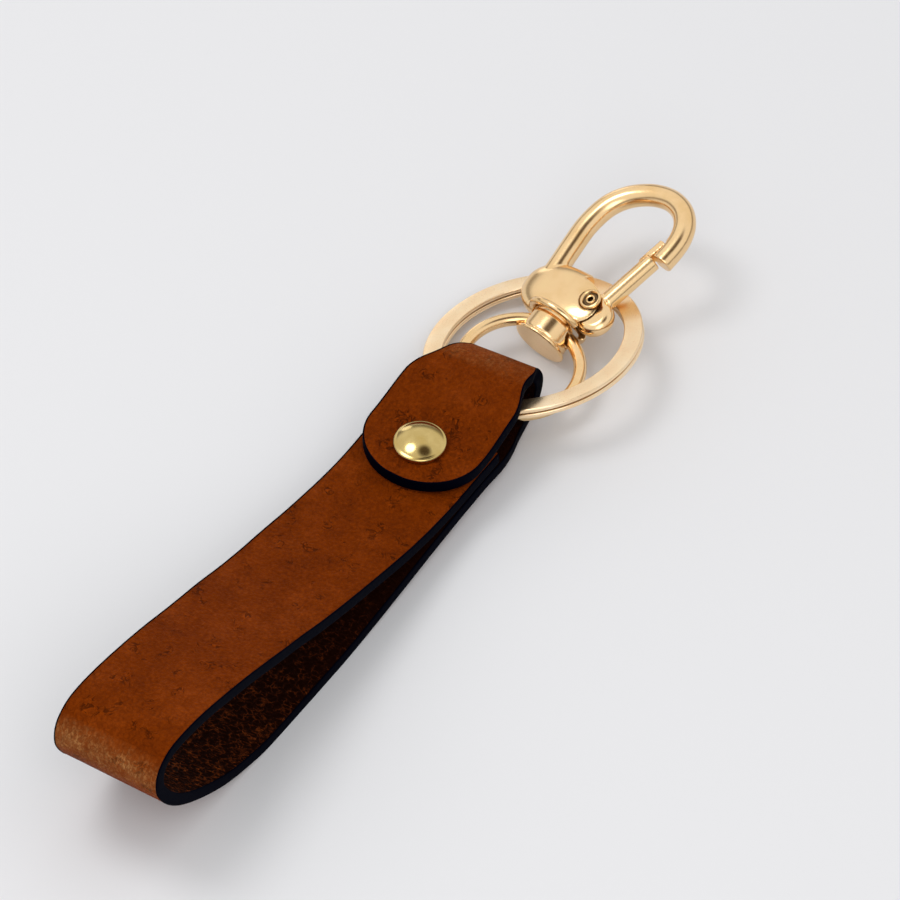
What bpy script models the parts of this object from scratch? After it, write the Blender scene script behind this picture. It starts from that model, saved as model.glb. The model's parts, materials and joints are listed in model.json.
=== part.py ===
"""Leather keychain: a looped strap riveted into a fold that holds a split ring,
and a jump ring with a swivelling trigger clasp."""

import math

import bmesh
import bpy
from mathutils import Matrix, Vector

for stale in list(bpy.data.objects):
    bpy.data.objects.remove(stale, do_unlink=True)

MM = 0.001
OVERRUN = 3.0 * MM
merge_distance = 0.001 * MM
axis_merge_distance = 0.01 * MM
smooth_angle = math.radians(35)
tool_segments = 36
empty_size = 5.0 * MM

# Leather
hide_thickness = 1.1 * MM
glue_gap = 0.12 * MM
lining_thickness = 0.9 * MM
strap_half_width = 10.0 * MM
loop_half_width = 9.4 * MM
neck_half_width = 5.8 * MM
neck_shift = -1.5 * MM
neck_span = 13.0 * MM
crest_half_width = 7.5 * MM
tab_round = 9.0 * MM
tab_blunt_angle = math.radians(12)
fold_slope = -0.17
fold_slope_span = 24.0 * MM
fold_floor_share = 0.36
fold_tilt_low = 3.0 * MM
fold_tilt_span = 8.0 * MM
fold_probe_gap = 0.3 * MM
crest_lift_share = 0.8
narrowing_from_x = -20.0 * MM
narrowing_span = 60.0 * MM
heading_reach = 0.4 * MM
probe_steps = 2000
probed_share = 1 / 3
width_steps = 6
path_steps = 150
tip_steps = 7
curve_steps = 24

# Outer face of the strap seen from the side, from the tab's tip round the ring
# fold, along the table, round the finger loop and back under the tab
tab_line = [(-7.4, 9.9), (-2.0, 9.9), (4.0, 9.95), (10.0, 11.1), (15.0, 11.75)]
fold_line = [(19.0, 11.7), (22.4, 9.85), (24.0, 6.3), (22.5, 2.75), (19.0, 1.15)]
lower_line = [(14.0, 1.3), (9.0, 1.9), (4.0, 2.4), (-2.0, 2.4), (-9.0, 2.0),
              (-18.0, 1.4), (-27.0, 0.6), (-33.0, 0.2), (-38.0, 0.0),
              (-43.0, 0.0), (-48.0, 0.0), (-53.0, 0.0), (-58.0, 0.2),
              (-62.0, 0.8), (-69.0, 2.6), (-76.0, 6.0)]
loop_line = [(-82.0, 10.0), (-86.0, 14.0), (-88.6, 18.3), (-89.1, 21.5),
             (-88.2, 24.2), (-85.6, 26.0)]
upper_line = [(-82.0, 26.35), (-77.0, 25.8), (-71.0, 24.5), (-65.0, 22.9),
              (-59.0, 21.0), (-53.0, 19.0), (-48.0, 17.4), (-42.0, 15.3),
              (-36.0, 13.5), (-30.0, 11.9), (-24.0, 10.3), (-18.0, 8.9),
              (-12.0, 7.8), (-6.0, 7.25), (0.0, 7.2), (4.0, 7.2), (7.0, 7.2)]

# Rivet
rivet_cap_radius = 4.25 * MM
rivet_cap_rise = 1.9 * MM
rivet_cap_wall = 0.35 * MM
rivet_back_radius = 4.0 * MM
rivet_socket_radius = 1.9 * MM
rivet_post_radius = 1.2 * MM
rivet_clearance = 0.15 * MM
flange_thickness = 0.35 * MM
flange_inset = 1.0 * MM
rivet_face_gap = 0.2 * MM
cap_rim = 0.6 * MM
rivet_hole_radius = rivet_socket_radius + rivet_clearance
rivet_post_end_gap = 0.4 * MM
rivet_table_gap = 0.3 * MM
socket_end_gap = 1.2 * MM
rivet_segments = 40
cap_arc_steps = 6

# Split ring
split_mean_radius = 16.0 * MM
split_band = 3.0 * MM
split_coil = 0.78 * MM
split_coil_gap = 0.2 * MM
split_corner = 0.22 * MM
split_centre = Vector((29.4, -2.0, 6.1)) * MM
split_pitch = math.radians(4.3)
split_roll = math.radians(-15.2)
split_joggle = math.radians(34)
split_end_gap = math.radians(3)
split_joggle_at = math.radians(165)
split_steps = 132

# Jump ring
jump_mean_radius = 9.45 * MM
jump_wire_radius = 1.05 * MM
jump_centre = Vector((25.1, -2.2, 5.5)) * MM
jump_pitch = math.radians(-2.2)
jump_roll = math.radians(2.5)
jump_segments = 60
jump_sides = 14
eye_angle = math.radians(0)

# Both rings swing on this line through the fold
swing_spot = Vector((17.2, 0.0, 6.2)) * MM

# Clasp pose, about the jump ring's wire
clasp_yaw = math.radians(-6)
clasp_rise = math.radians(16.5)
clasp_roll = math.radians(-12)

# Swivel
disc_radius = 4.5 * MM
disc_thickness = 0.6 * MM
disc_edge = 0.2 * MM
disc_back_x = -3.6 * MM
barrel_radius = 4.0 * MM
barrel_groove_radius = 3.7 * MM
barrel_end_x = 2.1 * MM
shoulder_steps = 5
shoulder_share = 0.8
stem_radius = 1.2 * MM
stem_clearance = 0.25 * MM
stem_reach = 1.6 * MM
head_radius = 1.85 * MM
head_thickness = 1.0 * MM
head_gap = 0.3 * MM
socket_wall_x = 4.1 * MM
eye_clearance = 0.35 * MM
eye_flare_share = 1.15
eye_flare_steps = 9
turned_segments = 40

# Hook body
body_centre = Vector((5.2, 1.1, 0.0)) * MM
body_half_length = 5.3 * MM
body_taper_share = 0.24
body_half_width = 8.5 * MM
body_half_height = 3.0 * MM
body_squareness = 2.3
body_length_steps = 28
body_round_steps = 18
scoop_gap = 0.4 * MM
scoop_face_share = 0.6
chamber_radius = head_radius + head_gap
hook_bar_radius = 1.8 * MM
hook_knots = [(6.0, 6.2), (9.2, 6.5), (13.5, 6.95), (17.8, 7.2), (22.0, 6.4),
              (24.8, 4.5), (26.6, 1.9), (27.5, -0.7), (27.6, -3.3), (26.7, -5.9),
              (24.9, -7.8), (22.6, -8.8), (20.2, -9.05), (17.5, -8.9)]
hook_steps = 44
bar_resolution = 3

# Gate
pin_centre = Vector((6.1, -4.2)) * MM
pin_radius = 0.6 * MM
pin_clearance = 0.1 * MM
pin_seat_z = 2.1 * MM
pin_seat_radius = 1.95 * MM
pin_head_radius = 1.75 * MM
pin_head_top = 2.62 * MM
pin_head_round = 0.14 * MM
pin_cup_radius = 1.25 * MM
pin_cup_depth = 0.25 * MM
pin_hole_radius = 0.42 * MM
pin_hole_depth = 1.0 * MM
pin_tail_share = 0.88
slot_half_height = 1.7 * MM
gate_half_height = 1.4 * MM
gate_bar_radius = 1.42 * MM
gate_hub_radius = 1.85 * MM
gate_bar_start = Vector((7.6, -5.3)) * MM
gate_tip = Vector((17.5, -7.4)) * MM
gate_tip_gap = 0.3 * MM
tongue_length = 3.3 * MM
tongue_width = 1.2 * MM
tongue_half_height = 1.0 * MM
tongue_root = 1.5 * MM
seat_gap = 0.3 * MM
thumb_centre = Vector((4.4, -5.6)) * MM
thumb_radius = 3.1 * MM
thumb_round = 0.6 * MM
thumb_edge_shares = [(1.0, 1.0), (0.3, 0.87), (0.0, 0.57)]
slot_wall_y = -0.3 * MM
spring_wire = 0.11 * MM
spring_radius = 1.15 * MM
spring_turns = 2
spring_pitch = 0.66 * MM
spring_points = 12
spring_pocket_radius = 1.5 * MM
spring_pocket_depth = 1.8 * MM
spring_floor_gap = 0.12 * MM

parts = bpy.data.collections.new("leather_keychain")
cutters = bpy.data.collections.new("cutters")
bpy.context.scene.collection.children.link(parts)
bpy.context.scene.collection.children.link(cutters)


def material(name, colour, roughness, metallic):
    made = bpy.data.materials.new(name)
    made.use_nodes = True
    shader = made.node_tree.nodes["Principled BSDF"]
    shader.inputs["Base Color"].default_value = (*colour, 1.0)
    shader.inputs["Roughness"].default_value = roughness
    shader.inputs["Metallic"].default_value = metallic
    made.diffuse_color = (*colour, 1.0)
    return made


hide_brown = material("hide_brown", (0.16, 0.031, 0.004), 0.55, 0.0)
lining_brown = material("lining_brown", (0.03, 0.010, 0.004), 0.85, 0.0)
pale_gold = material("pale_gold", (0.86, 0.58, 0.28), 0.18, 1.0)
flat_gold = material("flat_gold", (0.88, 0.68, 0.44), 0.3, 1.0)
rivet_brass = material("rivet_brass", (0.62, 0.47, 0.2), 0.25, 1.0)
spring_steel = material("spring_steel", (0.55, 0.55, 0.56), 0.3, 1.0)


def add(name, mesh, look, where=None):
    made = bpy.data.objects.new(name, mesh)
    (where or parts).objects.link(made)
    if look:
        mesh.materials.clear()
        mesh.materials.append(look)
    return made


def tidy(mesh):
    work = bmesh.new()
    work.from_mesh(mesh)
    bmesh.ops.remove_doubles(work, verts=work.verts, dist=merge_distance)
    bmesh.ops.recalc_face_normals(work, faces=work.faces)
    for edge in work.edges:
        bent = len(edge.link_faces) == 2 and edge.calc_face_angle(0.0) > smooth_angle
        edge.smooth = not bent
    work.to_mesh(mesh)
    work.free()
    for face in mesh.polygons:
        face.use_smooth = True
    return mesh


def settled(shape):
    """The object's mesh with its modifiers and own transform taken in."""
    graph = bpy.context.evaluated_depsgraph_get()
    mesh = bpy.data.meshes.new_from_object(shape.evaluated_get(graph))
    mesh.transform(shape.matrix_world)
    return mesh


def bake(shape):
    """Replace the object's mesh by its evaluated one and drop its modifiers."""
    bpy.context.view_layer.update()
    mesh = settled(shape)
    shape.modifiers.clear()
    shape.data = mesh
    shape.matrix_world = Matrix()
    tidy(mesh)
    return shape


def turned(name, profile, look, segments=turned_segments, where=None):
    """Turn an (radius, height) outline, top to bottom, about Z."""
    work = bmesh.new()
    spots = [work.verts.new((radius, 0.0, height)) for radius, height in profile]
    for first, second in zip(spots, spots[1:]):
        work.edges.new((first, second))
    mesh = bpy.data.meshes.new(name)
    work.to_mesh(mesh)
    work.free()
    made = add(name, mesh, look, where)
    screw = made.modifiers.new("turn", "SCREW")
    screw.axis = "Z"
    screw.steps = segments
    screw.render_steps = segments
    screw.use_merge_vertices = True
    screw.merge_threshold = axis_merge_distance
    return bake(made)


def cut(shape, tool, kind="DIFFERENCE"):
    boolean = shape.modifiers.new("cut", "BOOLEAN")
    boolean.operation = kind
    boolean.solver = "EXACT"
    boolean.object = tool
    bake(shape)
    if kind == "UNION":
        bpy.data.objects.remove(tool, do_unlink=True)
    else:
        tool.hide_render = True
        tool.display_type = "WIRE"
    return shape


def block(name, low, high, where=None):
    work = bmesh.new()
    bmesh.ops.create_cube(work, size=1.0)
    middle = (Vector(low) + Vector(high)) / 2
    span = Vector(high) - Vector(low)
    bmesh.ops.scale(work, vec=span, verts=work.verts)
    bmesh.ops.translate(work, vec=middle, verts=work.verts)
    mesh = bpy.data.meshes.new(name)
    work.to_mesh(mesh)
    work.free()
    return add(name, mesh, None, where or cutters)


def rod(name, radius, low, high, spot, segments=tool_segments, where=None):
    """An upright cylinder at a plan position."""
    work = bmesh.new()
    bmesh.ops.create_cone(work, cap_ends=True, segments=segments, radius1=radius,
                          radius2=radius, depth=high - low)
    bmesh.ops.translate(work, vec=(spot[0], spot[1], (low + high) / 2),
                        verts=work.verts)
    mesh = bpy.data.meshes.new(name)
    work.to_mesh(mesh)
    work.free()
    return add(name, mesh, None, where or cutters)


def tube(name, points, radius, look, resolution=bar_resolution, where=None):
    """A round bar along open points, its ends filled, as a closed mesh."""
    line = bpy.data.curves.new(name, "CURVE")
    line.dimensions = "3D"
    line.bevel_depth = radius
    line.bevel_resolution = resolution
    line.use_fill_caps = True
    spline = line.splines.new("POLY")
    spline.points.add(len(points) - 1)
    for spot, point in zip(spline.points, points):
        spot.co = (*point, 1.0)
    drawn = bpy.data.objects.new(name + "_line", line)
    parts.objects.link(drawn)
    bpy.context.view_layer.update()
    mesh = settled(drawn)
    bpy.data.objects.remove(drawn, do_unlink=True)
    tidy(mesh)
    return add(name, mesh, look, where)


# Strap path: an even run of points through the outlined knots
def through(knots):
    spots = [Vector(knot) * MM for knot in knots]
    spots = [spots[0] * 2 - spots[1]] + spots + [spots[-1] * 2 - spots[-2]]
    fine = []
    for index in range(1, len(spots) - 2):
        before, start, end, after = spots[index - 1:index + 3]
        for step in range(curve_steps):
            t = step / curve_steps
            fine.append(0.5 * (2 * start + (end - before) * t
                               + (2 * before - 5 * start + 4 * end - after) * t ** 2
                               + (3 * start - before - 3 * end + after) * t ** 3))
    fine.append(spots[-2])
    run = [0.0]
    for first, second in zip(fine, fine[1:]):
        run.append(run[-1] + (second - first).length)

    def at(distance):
        distance = min(max(distance, 0.0), run[-1])
        low = 0
        high = len(run) - 1
        while high - low > 1:
            middle = (low + high) // 2
            if run[middle] <= distance:
                low = middle
            else:
                high = middle
        share = (distance - run[low]) / (run[high] - run[low])
        return fine[low].lerp(fine[high], share)

    return at, run[-1]


strap_knots = tab_line + fold_line + lower_line + loop_line + upper_line
strap_at, strap_length = through(strap_knots)


def along(distance):
    """Outer-face point and inward direction at a distance from the tab's tip."""
    spot = strap_at(distance)
    heading = strap_at(distance + heading_reach) - strap_at(distance - heading_reach)
    heading.normalize()
    return spot, Vector((heading.y, -heading.x))


def distance_of(x, upper_side):
    """Distance along the path at which the tab or the lower strap passes x."""
    best = 0.0
    step = strap_length / probe_steps
    distance = 0.0
    nearest = strap_length
    while distance < strap_length * probed_share:
        spot, inward = along(distance)
        facing_up = inward.y < 0
        if facing_up == upper_side and abs(spot.x - x) < nearest:
            nearest = abs(spot.x - x)
            best = distance
        distance += step
    return best


fold_probe_x = fold_line[2][0] * MM - fold_probe_gap
fold_middle = (distance_of(fold_probe_x, True) + distance_of(fold_probe_x, False)) / 2
crest_distance = distance_of(fold_line[0][0] * MM, True)


def ease(share):
    share = min(max(share, 0.0), 1.0)
    return share * share * (3 - 2 * share)


def half_width(distance):
    spot, inward = along(distance)
    away = abs(distance - fold_middle)
    near_neck = 1 - ease(away / neck_span)
    crest_share = crest_half_width - neck_half_width
    crest_away = abs(fold_middle - crest_distance)
    width = strap_half_width + (neck_half_width - strap_half_width) * near_neck
    if distance < fold_middle:
        lift = 1 - ease(abs(distance - crest_distance) / crest_away)
        width += (crest_share - (width - neck_half_width)) * lift * crest_lift_share
    beyond = ease((narrowing_from_x - spot.x) / narrowing_span)
    if distance > fold_middle:
        width += (loop_half_width - strap_half_width) * beyond
    if distance < tab_round:
        width *= math.sqrt(max(0.0, 1 - (1 - distance / tab_round) ** 2))
    return width


def bent_sheet(name, depth, thickness, look):
    stops = []
    for index in range(tip_steps):
        turn = tab_blunt_angle + (math.pi / 2 - tab_blunt_angle) * index / tip_steps
        stops.append(tab_round * (1 - math.cos(turn)))
    rest = path_steps - tip_steps
    for index in range(rest + 1):
        stops.append(tab_round + (strap_length - tab_round) * index / rest)
    work = bmesh.new()
    bmesh.ops.create_grid(work, x_segments=len(stops) - 1, y_segments=width_steps,
                          size=1.0)
    for spot in work.verts:
        row = round((spot.co.x + 1) / 2 * (len(stops) - 1))
        distance = stops[row]
        point, inward = along(distance)
        near_fold = 1 - ease(abs(distance - fold_middle) / fold_slope_span)
        across = spot.co.y * half_width(distance)
        across += neck_shift * (1 - ease(abs(distance - fold_middle) / neck_span))
        rise = ease((point.y - fold_tilt_low) / fold_tilt_span)
        tilt = fold_slope * near_fold * (fold_floor_share + (1 - fold_floor_share) * rise)
        point = point + inward * depth
        spot.co = Vector((point.x, across, point.y + tilt * across))
    mesh = bpy.data.meshes.new(name)
    work.to_mesh(mesh)
    work.free()
    made = add(name, mesh, look)
    solid = made.modifiers.new("thickness", "SOLIDIFY")
    solid.thickness = thickness
    solid.offset = 1.0
    solid.use_even_offset = True
    bake(made)
    return made


hide = bent_sheet("strap_outer_hide", hide_thickness, hide_thickness, hide_brown)
lining = bent_sheet("strap_lining", hide_thickness + glue_gap + lining_thickness,
                    lining_thickness, lining_brown)
leather_top = strap_at(-tab_line[0][0] * MM).y
leather_bottom = strap_at(distance_of(0.0, False)).y
rivet_bore = rod("rivet_bore", rivet_hole_radius, leather_bottom - OVERRUN,
                 leather_top + OVERRUN, (0.0, 0.0))
cut(hide, rivet_bore)
cut(lining, rivet_bore)


# Rivet: two thin domed caps over a flanged socket and a flanged post
def dome(radius, rise, wall, base):
    """Outline of a domed shell from its crown out, in at the rim and back."""
    outer = []
    inner = []
    bend = (radius ** 2 + rise ** 2) / (2 * rise)
    sweep = math.asin(radius / bend)
    for index in range(cap_arc_steps + 1):
        turn = sweep * index / cap_arc_steps
        outer.append((bend * math.sin(turn), base + rise - bend * (1 - math.cos(turn))))
        inner_bend = bend - wall
        inner_turn = math.asin((radius - wall) / bend) * index / cap_arc_steps
        inner.append((inner_bend * math.sin(inner_turn),
                      base + rise - wall - inner_bend * (1 - math.cos(inner_turn))))
    return outer, inner


cap_base = leather_top + rivet_face_gap
outer, inner = dome(rivet_cap_radius, rivet_cap_rise - cap_rim, rivet_cap_wall,
                    cap_base + cap_rim)
front_profile = outer + [(rivet_cap_radius, cap_base),
                         (rivet_cap_radius - rivet_cap_wall, cap_base)]
front_profile += list(reversed(inner))
turned("rivet_front_cap", front_profile, rivet_brass, rivet_segments)

socket_top = cap_base + flange_thickness
flange_radius = rivet_cap_radius - flange_inset
socket_bottom = leather_bottom + socket_end_gap
socket_bore = rivet_post_radius + rivet_clearance
socket_profile = [(socket_bore, socket_top), (flange_radius, socket_top),
                  (flange_radius, cap_base), (rivet_socket_radius, cap_base),
                  (rivet_socket_radius, socket_bottom),
                  (socket_bore, socket_bottom), (socket_bore, socket_top)]
socket = turned("rivet_front_socket", socket_profile, rivet_brass, rivet_segments)

back_face = leather_bottom - rivet_face_gap
post_top = socket_top - rivet_post_end_gap
back_flange = rivet_back_radius - flange_inset
post_profile = [(0.0, post_top), (rivet_post_radius, post_top),
                (rivet_post_radius, back_face), (back_flange, back_face),
                (back_flange, back_face - flange_thickness),
                (0.0, back_face - flange_thickness)]
post = turned("rivet_back_post", post_profile, rivet_brass, rivet_segments)

back_rise = back_face - rivet_table_gap
outer, inner = dome(rivet_back_radius, back_rise - cap_rim, rivet_cap_wall,
                    0.0)
flip = back_face - cap_rim
back_outer = [(radius, flip - height) for radius, height in outer]
back_inner = [(radius, flip - height) for radius, height in inner]
back_loop = back_inner + [(rivet_back_radius - rivet_cap_wall, back_face),
                          (rivet_back_radius, back_face)]
back_loop += list(reversed(back_outer))
turned("rivet_back_cap", back_loop, rivet_brass, rivet_segments)


# Rings
def tilt_of(pitch, roll, yaw=0.0):
    """Pitch drops +X, roll lifts +Y, yaw turns towards +Y."""
    return (Matrix.Rotation(yaw, 4, "Z") @ Matrix.Rotation(pitch, 4, "Y")
            @ Matrix.Rotation(roll, 4, "X"))


def split_section():
    """A round-cornered band section in its own plane."""
    half_w = split_band / 2 - split_corner
    half_t = split_coil / 2 - split_corner
    ring = []
    for corner, (side_x, side_y) in enumerate([(1, 1), (-1, 1), (-1, -1), (1, -1)]):
        for index in range(3):
            turn = math.radians(90 * corner + 45 * index)
            ring.append((side_x * half_w + split_corner * math.cos(turn),
                         side_y * half_t + split_corner * math.sin(turn)))
    return ring


def split_wire():
    rise = split_coil + split_coil_gap
    first = split_joggle / 2 + split_end_gap
    last = 4 * math.pi - first
    section = split_section()
    work = bmesh.new()
    rows = []
    for index in range(split_steps + 1):
        turn = first + (last - first) * index / split_steps
        share = (turn - 2 * math.pi + split_joggle / 2) / split_joggle
        level = rise * (ease(share) - 0.5)
        facing = turn + split_joggle_at
        out = Vector((math.cos(facing), math.sin(facing), 0.0))
        row = []
        for width, height in section:
            spot = out * (split_mean_radius + width)
            row.append(work.verts.new((spot.x, spot.y, level + height)))
        rows.append(row)
    for first_row, second_row in zip(rows, rows[1:]):
        for index in range(len(section)):
            after = (index + 1) % len(section)
            work.faces.new((first_row[index], first_row[after],
                            second_row[after], second_row[index]))
    work.faces.new(list(reversed(rows[0])))
    work.faces.new(rows[-1])
    mesh = bpy.data.meshes.new("split_ring")
    work.to_mesh(mesh)
    work.free()
    return tidy(mesh)


split_pose = Matrix.Translation(split_centre) @ tilt_of(split_pitch, split_roll)
split_mesh = split_wire()
split_mesh.transform(split_pose)
split_ring = add("split_ring", split_mesh, flat_gold)

jump_pose = Matrix.Translation(jump_centre) @ tilt_of(jump_pitch, jump_roll)
bpy.ops.mesh.primitive_torus_add(major_radius=jump_mean_radius,
                                 minor_radius=jump_wire_radius,
                                 major_segments=jump_segments,
                                 minor_segments=jump_sides)
torus = bpy.context.active_object
torus_mesh = torus.data.copy()
bpy.data.objects.remove(torus, do_unlink=True)
torus_mesh.transform(jump_pose)
tidy(torus_mesh)
jump_ring = add("jump_ring", torus_mesh, pale_gold)

eye_local = Vector((math.cos(eye_angle), math.sin(eye_angle), 0.0)) * jump_mean_radius
eye_spot = jump_pose @ eye_local
wire_heading = (jump_pose.to_3x3()
                @ Vector((-math.sin(eye_angle), math.cos(eye_angle), 0.0)))
wire_heading.normalize()

clasp_pose = (Matrix.Translation(eye_spot)
              @ tilt_of(-clasp_rise, clasp_roll, clasp_yaw))
clasp_inverse = clasp_pose.inverted()

# Swivel: the flat disc, the barrel on the wire and the stem into the hook body
on_clasp_axis = Matrix.Rotation(math.radians(90), 4, "Y")
disc_front_x = disc_back_x + disc_thickness
swivel_outline = [(0.0, disc_back_x), (disc_radius - disc_edge, disc_back_x),
                  (disc_radius, disc_back_x + disc_edge),
                  (disc_radius, disc_front_x - disc_edge),
                  (disc_radius - disc_edge, disc_front_x),
                  (barrel_groove_radius, disc_front_x),
                  (barrel_groove_radius, disc_front_x + disc_edge),
                  (barrel_radius, disc_front_x + 2 * disc_edge)]
shoulder_radius = barrel_radius - stem_radius
shoulder_length = shoulder_radius * shoulder_share
shoulder_start = barrel_end_x - shoulder_length
for index in range(shoulder_steps + 1):
    turn = math.pi / 2 * index / shoulder_steps
    swivel_outline.append((stem_radius + shoulder_radius * math.cos(turn),
                           shoulder_start + shoulder_length * math.sin(turn)))
stem_end = socket_wall_x + stem_reach
swivel_outline += [(stem_radius, stem_end), (head_radius, stem_end),
                   (head_radius, stem_end + head_thickness),
                   (0.0, stem_end + head_thickness)]
swivel_profile = [(radius, position) for radius, position in reversed(swivel_outline)]
swivel = turned("swivel_eye", swivel_profile, pale_gold)
swivel.data.transform(on_clasp_axis)

flare = []
eye_reach = barrel_radius + OVERRUN
for index in range(eye_flare_steps):
    out = eye_reach * (1 - 2 * index / (eye_flare_steps - 1))
    sag = jump_mean_radius - math.sqrt(jump_mean_radius ** 2 - out ** 2)
    flare.append((jump_wire_radius + eye_clearance + sag * eye_flare_share, out))
eye_profile = [(0.0, flare[0][1])] + flare + [(0.0, flare[-1][1])]
eye_tool = turned("eye_tool", eye_profile, None, tool_segments, cutters)
heading_in_clasp = clasp_inverse.to_3x3() @ wire_heading
eye_turn = Vector((0, 0, 1)).rotation_difference(heading_in_clasp).to_matrix().to_4x4()
eye_tool.data.transform(eye_turn)
cut(swivel, eye_tool)


# Hook body: a rounded casting with the swivel's scoop, its chamber and the gate slot
def casting():
    work = bmesh.new()
    bmesh.ops.create_uvsphere(work, u_segments=body_length_steps,
                              v_segments=body_round_steps, radius=1.0)
    for spot in work.verts:
        x, y, z = spot.co
        power = 2 / body_squareness
        x = math.copysign(abs(x) ** power, x)
        y = math.copysign(abs(y) ** power, y)
        z = math.copysign(abs(z) ** power, z)
        z *= 1 - body_taper_share * (x + 1) / 2
        spot.co = Vector((x * body_half_length, y * body_half_width,
                          z * body_half_height)) + body_centre
    mesh = bpy.data.meshes.new("hook_body")
    work.to_mesh(mesh)
    work.free()
    return tidy(mesh)


body = add("hook_body", casting(), pale_gold)

hook_at, hook_length = through(hook_knots)
hook_line = []
for index in range(hook_steps + 1):
    spot = hook_at(hook_length * index / hook_steps)
    hook_line.append((spot.x, spot.y, 0.0))
hook_bar = tube("hook_bar", hook_line, hook_bar_radius, pale_gold)
cut(body, hook_bar, "UNION")

scoop_outline = []
for radius, position in swivel_outline:
    if disc_front_x <= position <= barrel_end_x and radius >= stem_radius:
        scoop_outline.append((radius + scoop_gap, position + scoop_gap * scoop_face_share))
scoop_outline = ([(0.0, disc_back_x - OVERRUN),
                  (disc_radius + scoop_gap, disc_back_x - OVERRUN),
                  (disc_radius + scoop_gap, disc_front_x + scoop_gap)]
                 + [pair for pair in scoop_outline
                    if pair[1] > disc_front_x + scoop_gap]
                 + [(stem_radius + stem_clearance, barrel_end_x + scoop_gap),
                    (stem_radius + stem_clearance, stem_end - head_gap),
                    (chamber_radius, stem_end - head_gap),
                    (chamber_radius, stem_end + head_thickness + head_gap),
                    (0.0, stem_end + head_thickness + head_gap)])
scoop = turned("swivel_scoop", list(reversed(scoop_outline)), None, tool_segments,
               cutters)
scoop.data.transform(on_clasp_axis)
cut(body, scoop)

slot = block("gate_slot", (-OVERRUN, -body_half_width - OVERRUN, -slot_half_height),
             (body_centre.x + body_half_length + OVERRUN, slot_wall_y,
              slot_half_height))
cut(body, slot)
pin_bore = rod("pin_bore", pin_radius + pin_clearance, -body_half_height - OVERRUN,
               body_half_height + OVERRUN, pin_centre)
cut(body, pin_bore)
pin_seat = rod("pin_seat", pin_seat_radius, pin_seat_z, body_half_height + OVERRUN,
               pin_centre, turned_segments)
cut(body, pin_seat)


# Gate: bar, hub and thumb lever as one casting, lapping the hook's nose
gate_heading = (gate_tip - gate_bar_start).normalized()
gate_end = gate_tip - gate_heading * gate_tip_gap
gate = tube("gate", [(gate_bar_start.x, gate_bar_start.y, 0.0),
                     (gate_end.x, gate_end.y, 0.0)], gate_bar_radius, pale_gold)
hub = rod("gate_hub", gate_hub_radius, -gate_half_height, gate_half_height,
          pin_centre, tool_segments, parts)
cut(gate, hub, "UNION")
thumb_outline = []
for inward, share in thumb_edge_shares:
    thumb_outline.append((thumb_radius - inward * thumb_round,
                          share * gate_half_height))
thumb_profile = [(0.0, gate_half_height)] + thumb_outline
thumb_profile += [(radius, -height) for radius, height in reversed(thumb_outline)]
thumb_profile += [(0.0, -gate_half_height)]
thumb = turned("gate_thumb", thumb_profile, pale_gold, tool_segments)
thumb.data.transform(Matrix.Translation((thumb_centre.x, thumb_centre.y, 0.0)))
cut(gate, thumb, "UNION")
gate_bore = rod("gate_bore", pin_radius + pin_clearance, -gate_half_height - OVERRUN,
                gate_half_height + OVERRUN, pin_centre)
cut(gate, gate_bore)
pocket = rod("spring_pocket", spring_pocket_radius, -gate_half_height - OVERRUN,
             -gate_half_height + spring_pocket_depth, pin_centre)
cut(gate, pocket)
cut(gate, scoop)
across = Vector((-gate_heading.y, gate_heading.x))
tongue_low = gate_end - gate_heading * tongue_root
tongue_low += across * (gate_bar_radius - tongue_width)
tongue_high = gate_end + gate_heading * tongue_length + across * gate_bar_radius
tongue_length_all = (tongue_high - tongue_low).dot(gate_heading)
tongue = block("gate_tongue", (0.0, 0.0, -tongue_half_height),
               (tongue_length_all, tongue_width, tongue_half_height), parts)
tongue_turn = Matrix.Rotation(math.atan2(gate_heading.y, gate_heading.x), 4, "Z")
tongue.data.transform(Matrix.Translation((tongue_low.x, tongue_low.y, 0.0))
                      @ tongue_turn)
cut(gate, tongue, "UNION")
seat_low = (-seat_gap, -seat_gap, -gate_bar_radius - hook_bar_radius)
seat_high = (tongue_length_all + seat_gap, gate_bar_radius + hook_bar_radius,
             gate_bar_radius + hook_bar_radius)
nose_seat = block("nose_seat", seat_low, seat_high)
nose_seat.data.transform(Matrix.Translation((tongue_low.x, tongue_low.y, 0.0))
                         @ tongue_turn)
cut(body, nose_seat)

# Pin
pin_tail = -body_half_height * pin_tail_share
pin_head_base = pin_seat_z + pin_clearance
pin_cup_floor = pin_head_top - pin_cup_depth
pin_profile = [(0.0, pin_head_top - pin_hole_depth),
               (pin_hole_radius, pin_head_top - pin_hole_depth),
               (pin_hole_radius, pin_cup_floor), (pin_cup_radius, pin_cup_floor),
               (pin_cup_radius + pin_head_round, pin_head_top),
               (pin_head_radius - pin_head_round, pin_head_top),
               (pin_head_radius, pin_head_top - pin_head_round),
               (pin_head_radius, pin_head_base), (pin_radius, pin_head_base),
               (pin_radius, pin_tail), (0.0, pin_tail)]
pin = turned("gate_pin", pin_profile, pale_gold, tool_segments)
pin.data.transform(Matrix.Translation((pin_centre.x, pin_centre.y, 0.0)))

# Torsion spring, wound round the pin inside the gate's pocket
spring_line = []
spring_base = -gate_half_height + spring_wire + spring_floor_gap
for index in range(spring_turns * spring_points + 1):
    turn = 2 * math.pi * index / spring_points
    spring_line.append(Vector((pin_centre.x + spring_radius * math.cos(turn),
                               pin_centre.y + spring_radius * math.sin(turn),
                               spring_base + spring_pitch * index / spring_points)))
spring = tube("gate_spring", spring_line, spring_wire, spring_steel, 1)

# Every piece hangs from an empty on its joint axis, under one root
def empty(name, pose, parent):
    made = bpy.data.objects.new(name, None)
    parts.objects.link(made)
    made.empty_display_size = empty_size
    made.parent = parent
    made.matrix_world = pose
    bpy.context.view_layer.update()
    return made


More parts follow.
